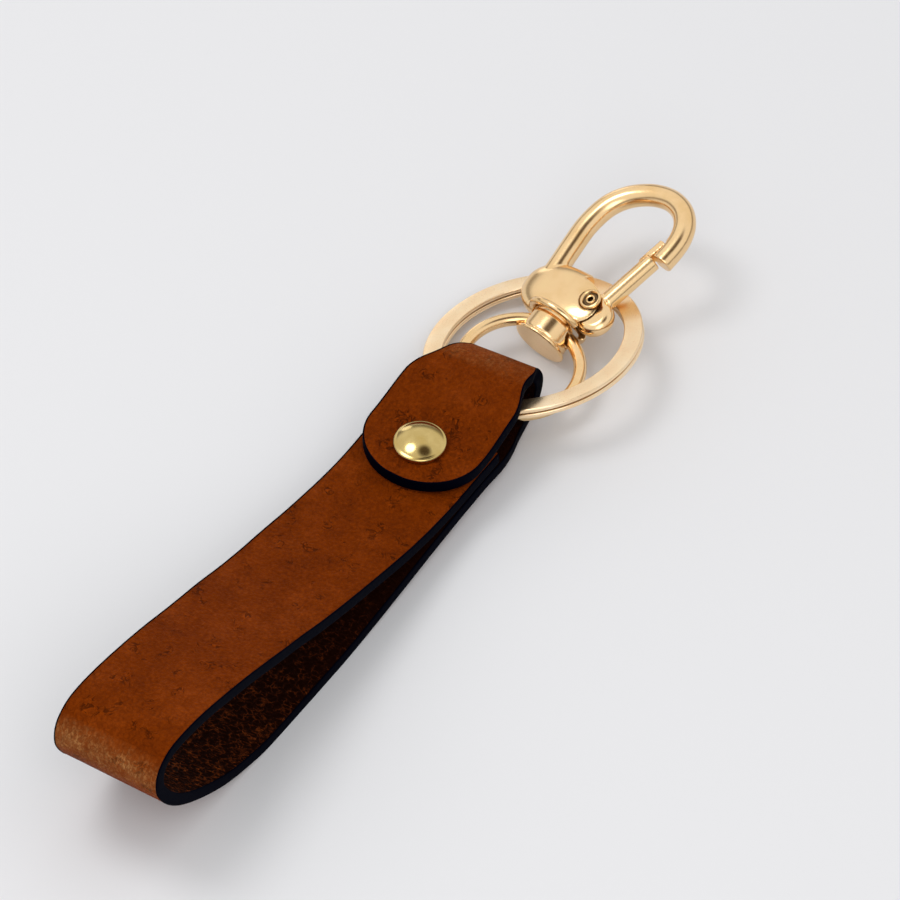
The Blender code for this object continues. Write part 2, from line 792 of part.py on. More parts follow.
def hang(piece, parent, own_pose):
    """Parent a piece, its mesh kept in the parent's frame."""
    piece.data.transform(parent.matrix_world.inverted() @ own_pose)
    piece.parent = parent
    piece.matrix_parent_inverse = Matrix()
    piece.matrix_basis = Matrix()


pieces = [shape for shape in parts.objects]
in_clasp = (swivel, body, gate, pin, spring)
lows = Vector((math.inf, math.inf, math.inf))
highs = -lows
for piece in pieces:
    pose = clasp_pose if piece in in_clasp else Matrix()
    for spot in piece.data.vertices:
        world = pose @ spot.co
        lows = Vector(map(min, lows, world))
        highs = Vector(map(max, highs, world))
to_frame = Matrix.Translation((-(lows.x + highs.x) / 2, -(lows.y + highs.y) / 2,
                               -lows.z))
root = empty("keychain_root", to_frame, None)
swing_axis = empty("ring_swing_axis", to_frame @ Matrix.Translation(swing_spot), root)
eye_frame = Matrix.Translation(eye_spot) @ Vector((0, 1, 0)).rotation_difference(
    wire_heading).to_matrix().to_4x4()
eye_axis = empty("clasp_tilt_axis", to_frame @ eye_frame, swing_axis)
clasp_axis = empty("hook_swivel_axis", to_frame @ clasp_pose, eye_axis)
pin_place = Matrix.Translation((pin_centre.x, pin_centre.y, 0.0))
pin_axis = empty("gate_pin_axis", to_frame @ clasp_pose @ pin_place, clasp_axis)
for piece in pieces:
    if piece in (split_ring, jump_ring):
        hang(piece, swing_axis, to_frame)
    elif piece == swivel:
        hang(piece, eye_axis, to_frame @ clasp_pose)
    elif piece in (body, pin, spring):
        hang(piece, clasp_axis, to_frame @ clasp_pose)
    elif piece == gate:
        hang(piece, pin_axis, to_frame @ clasp_pose)
    else:
        hang(piece, root, to_frame)
for tool in cutters.objects:
    tool.matrix_world = to_frame if tool == rivet_bore else to_frame @ clasp_pose

for frame in (swing_axis, eye_axis, clasp_axis, pin_axis):
    place = frame.matrix_world
    heads = [tuple(round(part, 5) for part in place.col[axis][:3]) for axis in range(3)]
    print(frame.name, tuple(round(part, 6) for part in place.translation), heads)
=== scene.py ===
"""Looks for a leather keychain: a looped strap, a rivet, a split ring, a jump ring
and a swivelling trigger clasp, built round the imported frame."""

import json
import math
from bisect import bisect_right

import bmesh
import bpy
from bpy.props import FloatProperty, FloatVectorProperty, IntProperty, PointerProperty
from bpy.types import Operator, Panel, PropertyGroup
from mathutils import Matrix, Vector, noise


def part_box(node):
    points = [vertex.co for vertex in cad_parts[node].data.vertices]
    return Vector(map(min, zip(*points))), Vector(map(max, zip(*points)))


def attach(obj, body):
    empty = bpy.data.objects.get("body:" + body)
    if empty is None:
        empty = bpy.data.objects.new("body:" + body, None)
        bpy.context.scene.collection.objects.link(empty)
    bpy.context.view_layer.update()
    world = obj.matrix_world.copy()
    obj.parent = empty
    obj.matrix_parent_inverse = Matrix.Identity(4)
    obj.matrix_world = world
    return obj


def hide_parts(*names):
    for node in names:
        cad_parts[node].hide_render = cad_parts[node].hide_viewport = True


bl_info = {
    "name": "Leather Keychain",
    "version": (1, 0, 0),
    "blender": (4, 5, 0),
    "location": "View3D > Sidebar > Keychain",
    "description": "Builds the finished leather, rings and clasp of a keychain",
    "category": "Object",
}

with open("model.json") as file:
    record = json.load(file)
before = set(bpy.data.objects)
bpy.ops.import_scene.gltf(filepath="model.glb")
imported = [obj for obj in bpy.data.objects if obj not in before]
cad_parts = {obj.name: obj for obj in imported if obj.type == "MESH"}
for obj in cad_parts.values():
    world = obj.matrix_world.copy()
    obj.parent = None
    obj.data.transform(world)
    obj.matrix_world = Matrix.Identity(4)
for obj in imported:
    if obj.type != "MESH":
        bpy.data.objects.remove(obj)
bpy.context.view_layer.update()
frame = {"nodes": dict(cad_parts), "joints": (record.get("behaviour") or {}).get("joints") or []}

MM = 0.001
WELD_GAP = 0.001 * MM

# The strap's outer face seen from the side, in millimetres from the rivet's axis
STRAP_KNOTS = [
    (-7.4, 9.9), (-2, 9.9), (4, 9.95), (10, 11.1), (15, 11.75), (19, 11.7),
    (22.4, 9.85), (24, 6.3), (22.5, 2.75), (19, 1.15), (14, 1.3), (9, 1.9),
    (4, 2.4), (-2, 2.4), (-9, 2), (-18, 1.4), (-27, 0.6), (-33, 0.2),
    (-38, 0), (-43, 0), (-48, 0), (-53, 0), (-58, 0.2), (-62, 0.8),
    (-69, 2.6), (-76, 6), (-82, 10), (-86, 14), (-88.6, 18.3), (-89.1, 21.5),
    (-88.2, 24.2), (-85.6, 26), (-82, 26.35), (-77, 25.8), (-71, 24.5), (-65, 22.9),
    (-59, 21), (-53, 19), (-48, 17.4), (-42, 15.3), (-36, 13.5), (-30, 11.9),
    (-24, 10.3), (-18, 8.9), (-12, 7.8), (-6, 7.25), (0, 7.2), (4, 7.2), (7, 7.2)]
FOLD_KNOT_X = 24.0
CREST_KNOT_X = 19.0
CURVE_STEPS = 24
PROBE_STEPS = 2000
PROBED_SHARE = 1 / 3
PROBE_GAP = 0.3 * MM
HEADING_REACH = 0.4 * MM

HIDE_THICKNESS = 1.1 * MM
GLUE_GAP = 0.12 * MM
LINING_THICKNESS = 0.9 * MM
HIDE_CORNER = 0.32 * MM
LINING_CORNER = 0.2 * MM
STRAP_HALF_WIDTH = 10.0 * MM
LOOP_HALF_WIDTH = 9.4 * MM
NECK_HALF_WIDTH = 5.8 * MM
NECK_SHIFT = -1.5 * MM
NECK_SPAN = 13.0 * MM
NECK_HOLD = 3.5 * MM
LOWER_NECK_SPAN = 20.0 * MM
CREST_HALF_WIDTH = 7.5 * MM
CREST_LIFT_SHARE = 0.8
CREST_LIFT_REACH = 0.62
NARROWING_FROM_X = -20.0 * MM
NARROWING_SPAN = 60.0 * MM
TAB_ROUND = 9.0 * MM
TAB_BLUNT_ANGLE = math.radians(12)
FOLD_SLOPE = -0.17
FOLD_SLOPE_SPAN = 24.0 * MM
FOLD_FLOOR_SHARE = 0.36
FOLD_TILT_LOW = 3.0 * MM
FOLD_TILT_SPAN = 8.0 * MM
CAP_BASE = 10.1 * MM
WAVE_RATE = 95.0
BEND_REACH = 2.0 * MM
BEND_FULL = math.radians(38)

# How finely the strap and its painted edge are drawn, and how the paint lies
STRAP_STEPS = 330
TIP_STEPS = 16
ACROSS_STEPS = 24
CORNER_STEPS = 3
EDGE_STEPS = 300
TIP_EDGE_STEPS = 48
EDGE_SIDES = 16
EDGE_SQUARENESS = 0.6
EDGE_WRAP = 0.14 * MM
EDGE_PROUD = 0.04 * MM
EDGE_WOBBLE = 0.25
EDGE_WAVE_RATE = 260.0

# Faces that meet at more than these angles keep a crisp edge between them
SHEET_CREASE = math.radians(50)
ROUND_CREASE = math.radians(60)
STAMPED_CREASE = math.radians(40)
EYELET_CREASE = math.radians(35)

# The clasp, in millimetres along and across its own swivel axis
HOOK_KNOTS = [
    (6, 6.2), (9.2, 6.5), (13.5, 6.95), (17.8, 7.2), (22, 6.4), (24.8, 4.5), (26.6, 1.9),
    (27.5, -0.7), (27.6, -3.3), (26.7, -5.9), (24.9, -7.8), (22.6, -8.8), (20.2, -9.05),
    (17.5, -8.9)]
PIN_SPOT = Vector((6.1, -4.2, 0.0)) * MM


def joint(name):
    return next(entry for entry in frame["joints"] if entry["name"] == name)


def row_origin():
    """The rivet's axis at table height, in the row's frame."""
    low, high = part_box("rivet_front_cap")
    return Vector(((low.x + high.x) / 2, (low.y + high.y) / 2, low.z - CAP_BASE))


def clasp_matrix():
    """The clasp's own frame, with X on the swivel axis and Z on the gate pin's."""
    along_axis = Vector(joint("hook_swivel")["axis"]).normalized()
    up = Vector(joint("gate_open")["axis"]).normalized()
    across = up.cross(along_axis).normalized()
    up = along_axis.cross(across)
    turn = Matrix((along_axis, across, up)).transposed().to_4x4()
    return Matrix.Translation(Vector(joint("hook_swivel")["pos_m"])) @ turn


ORIGIN = row_origin()
CLASP = clasp_matrix()


# Runs and curves
def evenly(start, end, steps):
    """The values at both ends of an even run of steps, and between them."""
    return [start + (end - start) * index / steps for index in range(steps + 1)]


def ease(share):
    share = min(max(share, 0.0), 1.0)
    return share * share * (3 - 2 * share)


def through(knots):
    """An even run of points through the knots: a lookup by distance and its length."""
    spots = [Vector(knot) * MM for knot in knots]
    spots = [spots[0] * 2 - spots[1]] + spots + [spots[-1] * 2 - spots[-2]]
    fine = []
    for index in range(1, len(spots) - 2):
        before, start, end, after = spots[index - 1:index + 3]
        for t in evenly(0.0, 1.0, CURVE_STEPS)[:-1]:
            fine.append(0.5 * (2 * start + (end - before) * t
                               + (2 * before - 5 * start + 4 * end - after) * t ** 2
                               + (3 * start - before - 3 * end + after) * t ** 3))
    fine.append(spots[-2])
    run = [0.0]
    for first, second in zip(fine, fine[1:]):
        run.append(run[-1] + (second - first).length)

    def at(distance):
        distance = min(max(distance, 0.0), run[-1])
        high = min(bisect_right(run, distance), len(run) - 1)
        share = (distance - run[high - 1]) / (run[high] - run[high - 1])
        return fine[high - 1].lerp(fine[high], share)

    return at, run[-1]


# Leather: a flat point (distance from the tab's tip, distance across, depth) bent
# into place along the strap's line
strap_at, strap_length = through(STRAP_KNOTS)


def along(distance):
    """Outer-face point and inward direction, carried straight on past the ends."""
    kept = min(max(distance, 0.0), strap_length)
    heading = strap_at(kept + HEADING_REACH) - strap_at(kept - HEADING_REACH)
    heading.normalize()
    spot = strap_at(kept) + heading * (distance - kept)
    return spot, Vector((heading.y, -heading.x))


def distance_of(x, upper_side):
    """Where along the strap, on its upper or lower run, it comes nearest to an X."""
    stops = evenly(0.0, strap_length, PROBE_STEPS)[:round(PROBE_STEPS * PROBED_SHARE)]
    stops = [stop for stop in stops if (along(stop)[1].y < 0) == upper_side]
    return min(stops, key=lambda stop: abs(along(stop)[0].x - x))


fold_probe = FOLD_KNOT_X * MM - PROBE_GAP
fold_middle = (distance_of(fold_probe, True) + distance_of(fold_probe, False)) / 2
crest_distance = distance_of(CREST_KNOT_X * MM, True)


def half_width(distance):
    """The strap's half width, without the rounding of the tab's tip."""
    upper = distance < fold_middle
    hold, span = (NECK_HOLD, NECK_SPAN) if upper else (0.0, LOWER_NECK_SPAN)
    near_neck = 1 - ease((abs(distance - fold_middle) - hold) / (span - hold))
    width = STRAP_HALF_WIDTH + (NECK_HALF_WIDTH - STRAP_HALF_WIDTH) * near_neck
    if upper:
        reach = fold_middle - crest_distance
        reach *= CREST_LIFT_REACH if distance > crest_distance else 1.0
        lift = 1 - ease(abs(distance - crest_distance) / reach)
        wanted = CREST_HALF_WIDTH - NECK_HALF_WIDTH
        return width + (wanted - (width - NECK_HALF_WIDTH)) * lift * CREST_LIFT_SHARE
    beyond = ease((NARROWING_FROM_X - along(distance)[0].x) / NARROWING_SPAN)
    return width + (LOOP_HALF_WIDTH - STRAP_HALF_WIDTH) * beyond


def strap_point(distance, across, depth):
    """Where a flat point of the strap lies in the row's frame."""
    spot, inward = along(distance)
    near_fold = 1 - ease(abs(distance - fold_middle) / FOLD_SLOPE_SPAN)
    across += NECK_SHIFT * (1 - ease(abs(distance - fold_middle) / NECK_SPAN))
    rise = ease((spot.y - FOLD_TILT_LOW) / FOLD_TILT_SPAN)
    tilt = FOLD_SLOPE * near_fold * (FOLD_FLOOR_SHARE + (1 - FOLD_FLOOR_SHARE) * rise)
    place = spot + inward * depth
    return Vector((place.x, across, place.y + tilt * across)) + ORIGIN


def tip_share(distance):
    """How much of its width the strap has at the tab's rounded tip."""
    if distance >= TAB_ROUND:
        return 1.0
    return math.sqrt(max(0.0, 1 - (1 - max(distance, 0.0) / TAB_ROUND) ** 2))


# Meshes
def linked(name, data):
    """A new object on the scene's collection."""
    made = bpy.data.objects.new(name, data)
    bpy.context.scene.collection.objects.link(made)
    return made


def new_piece(name, mesh, finish):
    """A piece at the origin with its material."""
    mesh.materials.clear()
    mesh.materials.append(finish)
    return linked(name, mesh)


def place_piece(name, mesh, body, nodes, finish, crease=ROUND_CREASE):
    """Put a finished mesh in the scene, on its body, for the nodes it stands for. Its
    shading is smooth, but stays crisp across edges bent more than the crease angle."""
    mesh.shade_smooth()
    mesh.set_sharp_from_angle(angle=crease)
    made = new_piece(name, mesh, finish)
    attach(made, body)
    if nodes:
        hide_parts(*nodes)
    return made


def moved(mesh, matrix):
    mesh.transform(matrix)
    return mesh


def baked(work, name):
    """The mesh of a bmesh that is finished with."""
    mesh = bpy.data.meshes.new(name)
    work.to_mesh(mesh)
    work.free()
    return mesh


def plain(shape):
    """The object's mesh with its modifiers and own transform taken in."""
    bpy.context.view_layer.update()
    graph = bpy.context.evaluated_depsgraph_get()
    mesh = bpy.data.meshes.new_from_object(shape.evaluated_get(graph))
    mesh.transform(shape.matrix_world)
    bpy.data.objects.remove(shape, do_unlink=True)
    return mesh


def skin(name, rings):
    """A closed mesh through rings of points, its side faces in order along them."""
    work = bmesh.new()
    rows = [[work.verts.new(spot) for spot in ring] for ring in rings]
    for first, second in zip(rows, rows[1:]):
        for index in range(len(first)):
            after = (index + 1) % len(first)
            work.faces.new((first[index], first[after], second[after], second[index]))
    work.faces.new(list(reversed(rows[0])))
    work.faces.new(rows[-1])
    bmesh.ops.remove_doubles(work, verts=work.verts, dist=WELD_GAP)
    bmesh.ops.recalc_face_normals(work, faces=work.faces)
    return baked(work, name)


def lathe(profile, segments):
    """A closed turned mesh about Z through (radius, height) points, top to bottom."""
    work = bmesh.new()
    turns = evenly(0.0, 2 * math.pi, segments)[:-1]
    rings = []
    for radius, height in profile:
        facing = turns if radius else turns[:1]
        rings.append([work.verts.new((radius * math.cos(turn), radius * math.sin(turn), height))
                      for turn in facing])
    for first, second in zip(rings, rings[1:]):
        for index in range(segments):
            after = (index + 1) % segments
            corners = [first[index % len(first)], first[after % len(first)],
                       second[after % len(second)], second[index % len(second)]]
            corners = list(dict.fromkeys(corners))
            if len(corners) > 2:
                work.faces.new(corners)
    bmesh.ops.recalc_face_normals(work, faces=work.faces)
    return baked(work, "turned")


def arc(centre, radius, start, end, steps):
    """Points of a circle in a plane, between two angles in degrees."""
    turns = [math.radians(turn) for turn in evenly(start, end, steps)]
    return [(centre[0] + radius * math.cos(turn), centre[1] + radius * math.sin(turn))
            for turn in turns]


def box_mesh(low, high):
    work = bmesh.new()
    bmesh.ops.create_cube(work, size=1.0)
    bmesh.ops.scale(work, vec=Vector(high) - Vector(low), verts=work.verts)
    bmesh.ops.translate(work, vec=(Vector(low) + Vector(high)) / 2, verts=work.verts)
    return baked(work, "block")


def modify(shape, kind, **settings):
    """Put a modifier with these settings last on an object."""
    modifier = shape.modifiers.new(kind.lower(), kind)
    for name, value in settings.items():
        setattr(modifier, name, value)
    return modifier


def sculpt(joined, removed, clasp):
    """One cast piece of the clasp: shells fused, others cut away, then remeshed so
    that its edges and corners are as soft as a polished casting's."""
    work = bmesh.new()
    for mesh in joined:
        work.from_mesh(mesh)
    body = linked("casting", baked(work, "casting"))
    tools = [linked("tool", mesh) for mesh in removed]
    modify(body, "REMESH", mode="VOXEL", voxel_size=clasp.casting_voxel)
    for tool in tools:
        modify(body, "BOOLEAN", operation="DIFFERENCE", solver="EXACT", object=tool)
    modify(body, "REMESH", mode="VOXEL", voxel_size=clasp.casting_voxel)
    modify(body, "SMOOTH", factor=0.5, iterations=clasp.polish_steps)
    mesh = moved(plain(body), CLASP)
    for tool in tools:
        bpy.data.objects.remove(tool, do_unlink=True)
    return mesh


# Nodes
def colour(value):
    """A linear colour from an sRGB hex value such as 6E2E0A, or from a grey level."""
    if isinstance(value, float):
        return (value, value, value)
    if not isinstance(value, str):
        return tuple(value)
    parts = [int(value[index:index + 2], 16) / 255 for index in (0, 2, 4)]
    return tuple(part / 12.92 if part <= 0.04045 else ((part + 0.055) / 1.055) ** 2.4
                 for part in parts)


def feed(tree, node, inputs):
    """Set a node's inputs, given by name or in order, to a number, a colour's hex
    value, a socket, or a node that stands for the first output it uses."""
    for name, value in inputs.items() if isinstance(inputs, dict) else enumerate(inputs):
        if isinstance(name, str):
            into = next(entry for entry in node.inputs if entry.enabled and entry.name == name)
        else:
            into = node.inputs[name]
        if isinstance(value, bpy.types.Node):
            value = next(entry for entry in value.outputs if entry.enabled)
        if isinstance(value, bpy.types.NodeSocket):
            tree.links.new(value, into)
        elif isinstance(value, str):
            into.default_value = (*colour(value), 1.0)
        else:
            into.default_value = value


def add_node(tree, kind, inputs=(), stops=(), **settings):
    """Add a node with its settings, inputs and, for a ramp, (place, colour) stops."""
    node = tree.nodes.new(kind)
    for name, value in settings.items():
        setattr(node, name, value)
    if stops:
        elements = node.color_ramp.elements
        while len(elements) < len(stops):
            elements.new(0.5)
        for element, (place, shown) in zip(elements, stops):
            element.position = place
            element.color = (*colour(shown), 1.0)
    feed(tree, node, inputs)
    return node


# Geometry Nodes: a bar that follows a path
BAR_INPUTS = {
    "Path": "Geometry", "Bar Radius": "Float", "Band Width": "Float",
    "Band Thickness": "Float", "Band Corner": "Float", "Sides": "Int", "Is Band": "Bool",
    "Finish": "Material"}
BAND_CORNER_POINTS = 4


def bar_tree():
    """Sweeps a round or band section along the path and closes its ends."""
    tree = bpy.data.node_groups.new("Bar along path", "GeometryNodeTree")
    for name, kind in BAR_INPUTS.items():
        tree.interface.new_socket(name, in_out="INPUT", socket_type="NodeSocket" + kind)
    tree.interface.new_socket("Bar", in_out="OUTPUT", socket_type="NodeSocketGeometry")
    entry = add_node(tree, "NodeGroupInput").outputs
    upright_path = add_node(tree, "GeometryNodeSetCurveNormal", {"Curve": entry["Path"]},
                            mode="Z_UP")
    ring = add_node(tree, "GeometryNodeCurvePrimitiveCircle",
                    {"Resolution": entry["Sides"], "Radius": entry["Bar Radius"]})
    slab = add_node(tree, "GeometryNodeCurvePrimitiveQuadrilateral",
                    {"Width": entry["Band Width"], "Height": entry["Band Thickness"]})
    rounded = add_node(tree, "GeometryNodeFilletCurve", mode="POLY", inputs={
        "Curve": slab, "Count": BAND_CORNER_POINTS, "Radius": entry["Band Corner"]})
    section = add_node(tree, "GeometryNodeSwitch",
                       {"Switch": entry["Is Band"], "False": ring, "True": rounded},
                       input_type="GEOMETRY")
    swept = add_node(tree, "GeometryNodeCurveToMesh",
                     {"Curve": upright_path, "Profile Curve": section, "Fill Caps": True})
    real = add_node(tree, "GeometryNodeRealizeInstances", {"Geometry": swept})
    finished = add_node(tree, "GeometryNodeSetMaterial",
                        {"Geometry": real, "Material": entry["Finish"]})
    add_node(tree, "NodeGroupOutput", {"Bar": finished})
    return tree


def bar_mesh(points, cyclic, settings):
    """A mesh from the path's points and the tree's inputs, by their names."""
    line = bpy.data.curves.new("path", "CURVE")
    line.dimensions = "3D"
    spline = line.splines.new("POLY")
    spline.points.add(len(points) - 1)
    for spot, point in zip(spline.points, points):
        spot.co = (*point, 1.0)
    spline.use_cyclic_u = cyclic
    path = linked("path", line)
    tree = bpy.data.node_groups.get("Bar along path") or bar_tree()
    modifier = modify(path, "NODES", node_group=tree)
    for item in tree.interface.items_tree:
        if item.in_out == "INPUT" and item.name in settings:
            modifier[item.identifier] = settings[item.name]
    mesh = plain(path)
    work = bmesh.new()
    work.from_mesh(mesh)
    bmesh.ops.remove_doubles(work, verts=work.verts, dist=WELD_GAP)
    bmesh.ops.recalc_face_normals(work, faces=work.faces)
    work.to_mesh(mesh)
    work.free()
    return mesh


# Finishes
NOISE = "ShaderNodeTexNoise"
RAMP = "ShaderNodeValToRGB"
RANGE = "ShaderNodeMapRange"
MATHS = "ShaderNodeMath"
MIX = "ShaderNodeMix"
MID_GREY = (0.5, 0.5, 0.5, 1.0)


def finish_base(name, base, inputs):
    """A material with its shader and object coordinates in millimetres."""
    made = bpy.data.materials.new(name)
    made.use_nodes = True
    made.diffuse_color = (*base, 1.0)
    tree = made.node_tree
    shader = tree.nodes["Principled BSDF"]
    feed(tree, shader, {"Base Color": (*base, 1.0), **inputs})
    place = add_node(tree, "ShaderNodeTexCoord").outputs["Object"]
    scaled = add_node(tree, "ShaderNodeMapping",
                      {"Vector": place, "Scale": (1 / MM, 1 / MM, 1 / MM)})
    return made, tree, shader, scaled


def grain_edges(tree, place, spacing_rate, warp_rate, warp):
    """Distance to the nearest border between grain cells, whose coordinates are
    pushed about by a noise, so that they lose their round shape."""
    push = add_node(tree, NOISE, {"Vector": place, "Scale": warp_rate, "Detail": 4.0})
    bent = add_node(tree, MIX, {"Factor": warp, "A": place, "B": push.outputs["Color"]},
                    data_type="VECTOR")
    return add_node(tree, "ShaderNodeTexVoronoi", {"Vector": bent, "Scale": spacing_rate},
                    feature="DISTANCE_TO_EDGE")


def waxed_brown_cowhide(sizes):
    """Waxed vegetable-tanned cowhide, drum dyed brown: fine cracked grain, cloudy dye,
    small healed scars, pale wrinkles where the waxed leather bends, and a painted sheen on the
    loop's end face."""
    base = colour(sizes.hide_colour)
    made, tree, shader, place = finish_base("waxed_brown_cowhide", base,
                                            {"Specular IOR Level": 0.015})
    clouds = add_node(tree, NOISE, {"Vector": place, "Scale": 0.14, "Detail": 5.0,
                                    "Roughness": 0.6})
    dye = add_node(tree, RAMP, {"Fac": clouds}, [(0.3, "662702"), (0.5, base), (0.72, "7E3508")])

    # Grain cells a little over a third of a millimetre apart, split by thin dark lines
    cracks = add_node(tree, RAMP, {"Fac": grain_edges(tree, place, 2.6, 0.9, 0.5)},
                      [(0.0, 0.15), (0.12, 0.85), (0.3, 1.0)])
    fine = add_node(tree, NOISE, {"Vector": place, "Scale": 1.5, "Detail": 6.0, "Roughness": 0.65})
    uneven = add_node(tree, RAMP, {"Fac": fine}, [(0.34, (0.74, 0.7, 0.66)), (0.5, 1.0),
                                                  (0.66, (1.3, 1.38, 1.4))])
    patches = add_node(tree, NOISE, {"Vector": place, "Scale": 0.22, "Detail": 3.0})
    cracked = add_node(tree, RANGE, {"Value": patches, "From Min": 0.42, "From Max": 0.62,
                                     "To Max": 0.2})

    # Sparse scars, one to three millimetres long, each a dark cut with a pale lip
    marks = add_node(tree, NOISE, {"Vector": place, "Scale": 0.42, "Distortion": 1.5})
    cuts = add_node(tree, RAMP, {"Fac": marks}, [(0.42, 0.5), (0.455, 0.06), (0.49, 0.12),
                                                 (0.525, 0.85), (0.57, 0.5)])
    spots = add_node(tree, NOISE, {"Vector": place, "Scale": 0.33, "Detail": 1.0})
    sparse = add_node(tree, RANGE, {"Value": spots, "From Min": 0.57, "From Max": 0.65})
    scars = add_node(tree, MIX, {"Factor": sparse, "A": MID_GREY, "B": cuts}, data_type="RGBA")

    # Wrinkles run across the bends, where the waxed leather turns pale. The pale tint is strongest
    # on the loop's end and its faces below the top, where it is a painted sheen; the fold gets less
    bend = add_node(tree, "ShaderNodeAttribute", attribute_name="bend").outputs["Fac"]
    drawn = add_node(tree, "ShaderNodeMapping", {"Vector": place, "Scale": (1.5, 2.1, 1.3)})
    creases = add_node(tree, NOISE, {"Vector": drawn, "Scale": 1.0, "Detail": 5.0,
                                     "Roughness": 0.7, "Distortion": 0.6})
    spot = add_node(tree, "ShaderNodeSeparateXYZ", {"Vector": place}).outputs
    wax_and_sheen = add_node(tree, RANGE, {"Value": bend, "From Min": 0.35, "From Max": 0.95})
    for source, low, high, least in ((spot["X"], 5.0, -50.0, 0.4), (spot["Z"], 25.4, 22.6, 0.0),
                                     (patches, 0.4, 0.6, 0.4), (creases, 0.46, 0.66, 0.2)):
        share = add_node(tree, RANGE, {"Value": source, "From Min": low, "From Max": high,
                                       "To Min": least})
        wax_and_sheen = add_node(tree, MATHS, [wax_and_sheen, share], operation="MULTIPLY")

    # Fine wrinkles run in towards the rivet, where it pinches the leather
    pinch = add_node(tree, "ShaderNodeVectorMath",
                     [place, (ORIGIN.x / MM, ORIGIN.y / MM, 0.0)], operation="SUBTRACT")
    parts = add_node(tree, "ShaderNodeSeparateXYZ", {"Vector": pinch}).outputs
    turn = add_node(tree, MATHS, [parts["Y"], parts["X"]], operation="ARCTAN2")
    plan = add_node(tree, "ShaderNodeCombineXYZ", [parts["X"], parts["Y"]])
    away = add_node(tree, "ShaderNodeVectorMath", [plan], operation="LENGTH")
    outward = add_node(tree, MATHS, [away, 0.12], operation="MULTIPLY")
    polar = add_node(tree, "ShaderNodeCombineXYZ", [turn, outward])
    rays = add_node(tree, NOISE, {"Vector": polar, "Scale": 5.5, "Detail": 3.0, "Distortion": 0.4})
    pulled = add_node(tree, RAMP, {"Fac": rays},
                      [(0.4, 0.35), (0.48, 0.62), (0.54, 0.5), (0.62, 0.42)])
    near = add_node(tree, RANGE, {"Value": away, "From Min": 5.0, "From Max": 11.0,
                                  "To Min": 0.9, "To Max": 0.0})
    pinched = add_node(tree, MIX, {"Factor": near, "A": MID_GREY, "B": pulled}, data_type="RGBA")

    # The pale tint mixed in below is partly a painted sheen on the loop's end
    shown = dye
    for mode, factor, over in (("MULTIPLY", 0.75, uneven), ("MULTIPLY", cracked, cracks),
                               ("OVERLAY", 0.6, scars), ("MIX", wax_and_sheen, "C6874E"),
                               ("OVERLAY", 0.7, pinched)):
        shown = add_node(tree, MIX, {"Factor": factor, "A": shown, "B": over},
                         data_type="RGBA", blend_type=mode)
    height = add_node(tree, MATHS, [cracks, 0.4, fine], operation="MULTIPLY_ADD")
    for share in (wax_and_sheen, scars, pinched):
        height = add_node(tree, MATHS, [height, share], operation="ADD")
    bump = add_node(tree, "ShaderNodeBump", {"Height": height, "Strength": 0.9,
                                             "Distance": 0.2 * MM})
    gloss = add_node(tree, RANGE, {"Value": fine, "From Min": 0.3, "From Max": 0.7,
                                   "To Min": 0.65, "To Max": 0.4})
    feed(tree, shader, {"Base Color": shown, "Normal": bump, "Roughness": gloss})
    return made


def pebbled_dark_lining(sizes):
    """Drum-tumbled lining leather, dyed near black: a shrunken, wrinkled grain with
    rust-brown ridges, partly real wear and partly painted highlight, matte valleys, and
    painted shade towards the fold."""
    base = colour(sizes.lining_colour)
    made, tree, shader, place = finish_base(
        "pebbled_dark_lining", base, {"Roughness": 0.6, "Specular IOR Level": 0.015})
    stretched = add_node(tree, "ShaderNodeMapping", {
        "Vector": place, "Scale": (1.1, 0.7, 1.0), "Rotation": (0.0, 0.0, math.radians(25))})
    network = add_node(tree, RAMP, {"Fac": grain_edges(tree, stretched, 2.9, 0.8, 0.6)},
                       [(0.0, 1.0), (0.12, 0.4), (0.3, 0.0)])
    patches = add_node(tree, NOISE, {"Vector": place, "Scale": 0.8, "Detail": 5.0,
                                     "Roughness": 0.7})
    strong = add_node(tree, RANGE, {"Value": patches, "From Min": 0.36, "From Max": 0.66})
    # Painted shade: the ridges dim from the loop's end towards the fold
    spot = add_node(tree, "ShaderNodeSeparateXYZ", {"Vector": place}).outputs
    light_away_from_fold = add_node(tree, RANGE, {"Value": spot["X"], "From Min": -62.0, "From Max": 4.0,
                                     "To Min": 1.1, "To Max": 0.22})
    wear_and_light = add_node(tree, MATHS, [strong, light_away_from_fold], operation="MULTIPLY")
    ridges = add_node(tree, MATHS, [network, wear_and_light], operation="MULTIPLY")
    # Pale rust ridges: partly wear colour, partly a painted highlight on the pebbles' rims
    ridge_wear_and_highlight = add_node(tree, RAMP, {"Fac": ridges},
                    [(0.0, "180501"), (0.2, base), (0.5, "56240A"), (0.85, "92481A")])
    bump = add_node(tree, "ShaderNodeBump", {"Height": ridges, "Strength": 1.0,
                                             "Distance": 0.3 * MM})
    feed(tree, shader, {"Base Color": ridge_wear_and_highlight, "Normal": bump})
    return made


def blue_black_edge_paint(sizes):
    """Acrylic edge paint, blue-black, in burnished layers: smooth, low and wavy,
    with a soft gloss."""
    made, tree, shader, place = finish_base(
        "blue_black_edge_paint", sizes.edge_colour, {"Roughness": 0.6, "Specular IOR Level": 0.01})
    waves = add_node(tree, NOISE, {"Vector": place, "Scale": 0.9, "Detail": 3.0})
    bump = add_node(tree, "ShaderNodeBump", {"Height": waves, "Strength": 0.35,
                                             "Distance": 0.1 * MM})
    feed(tree, shader, {"Normal": bump})
    return made


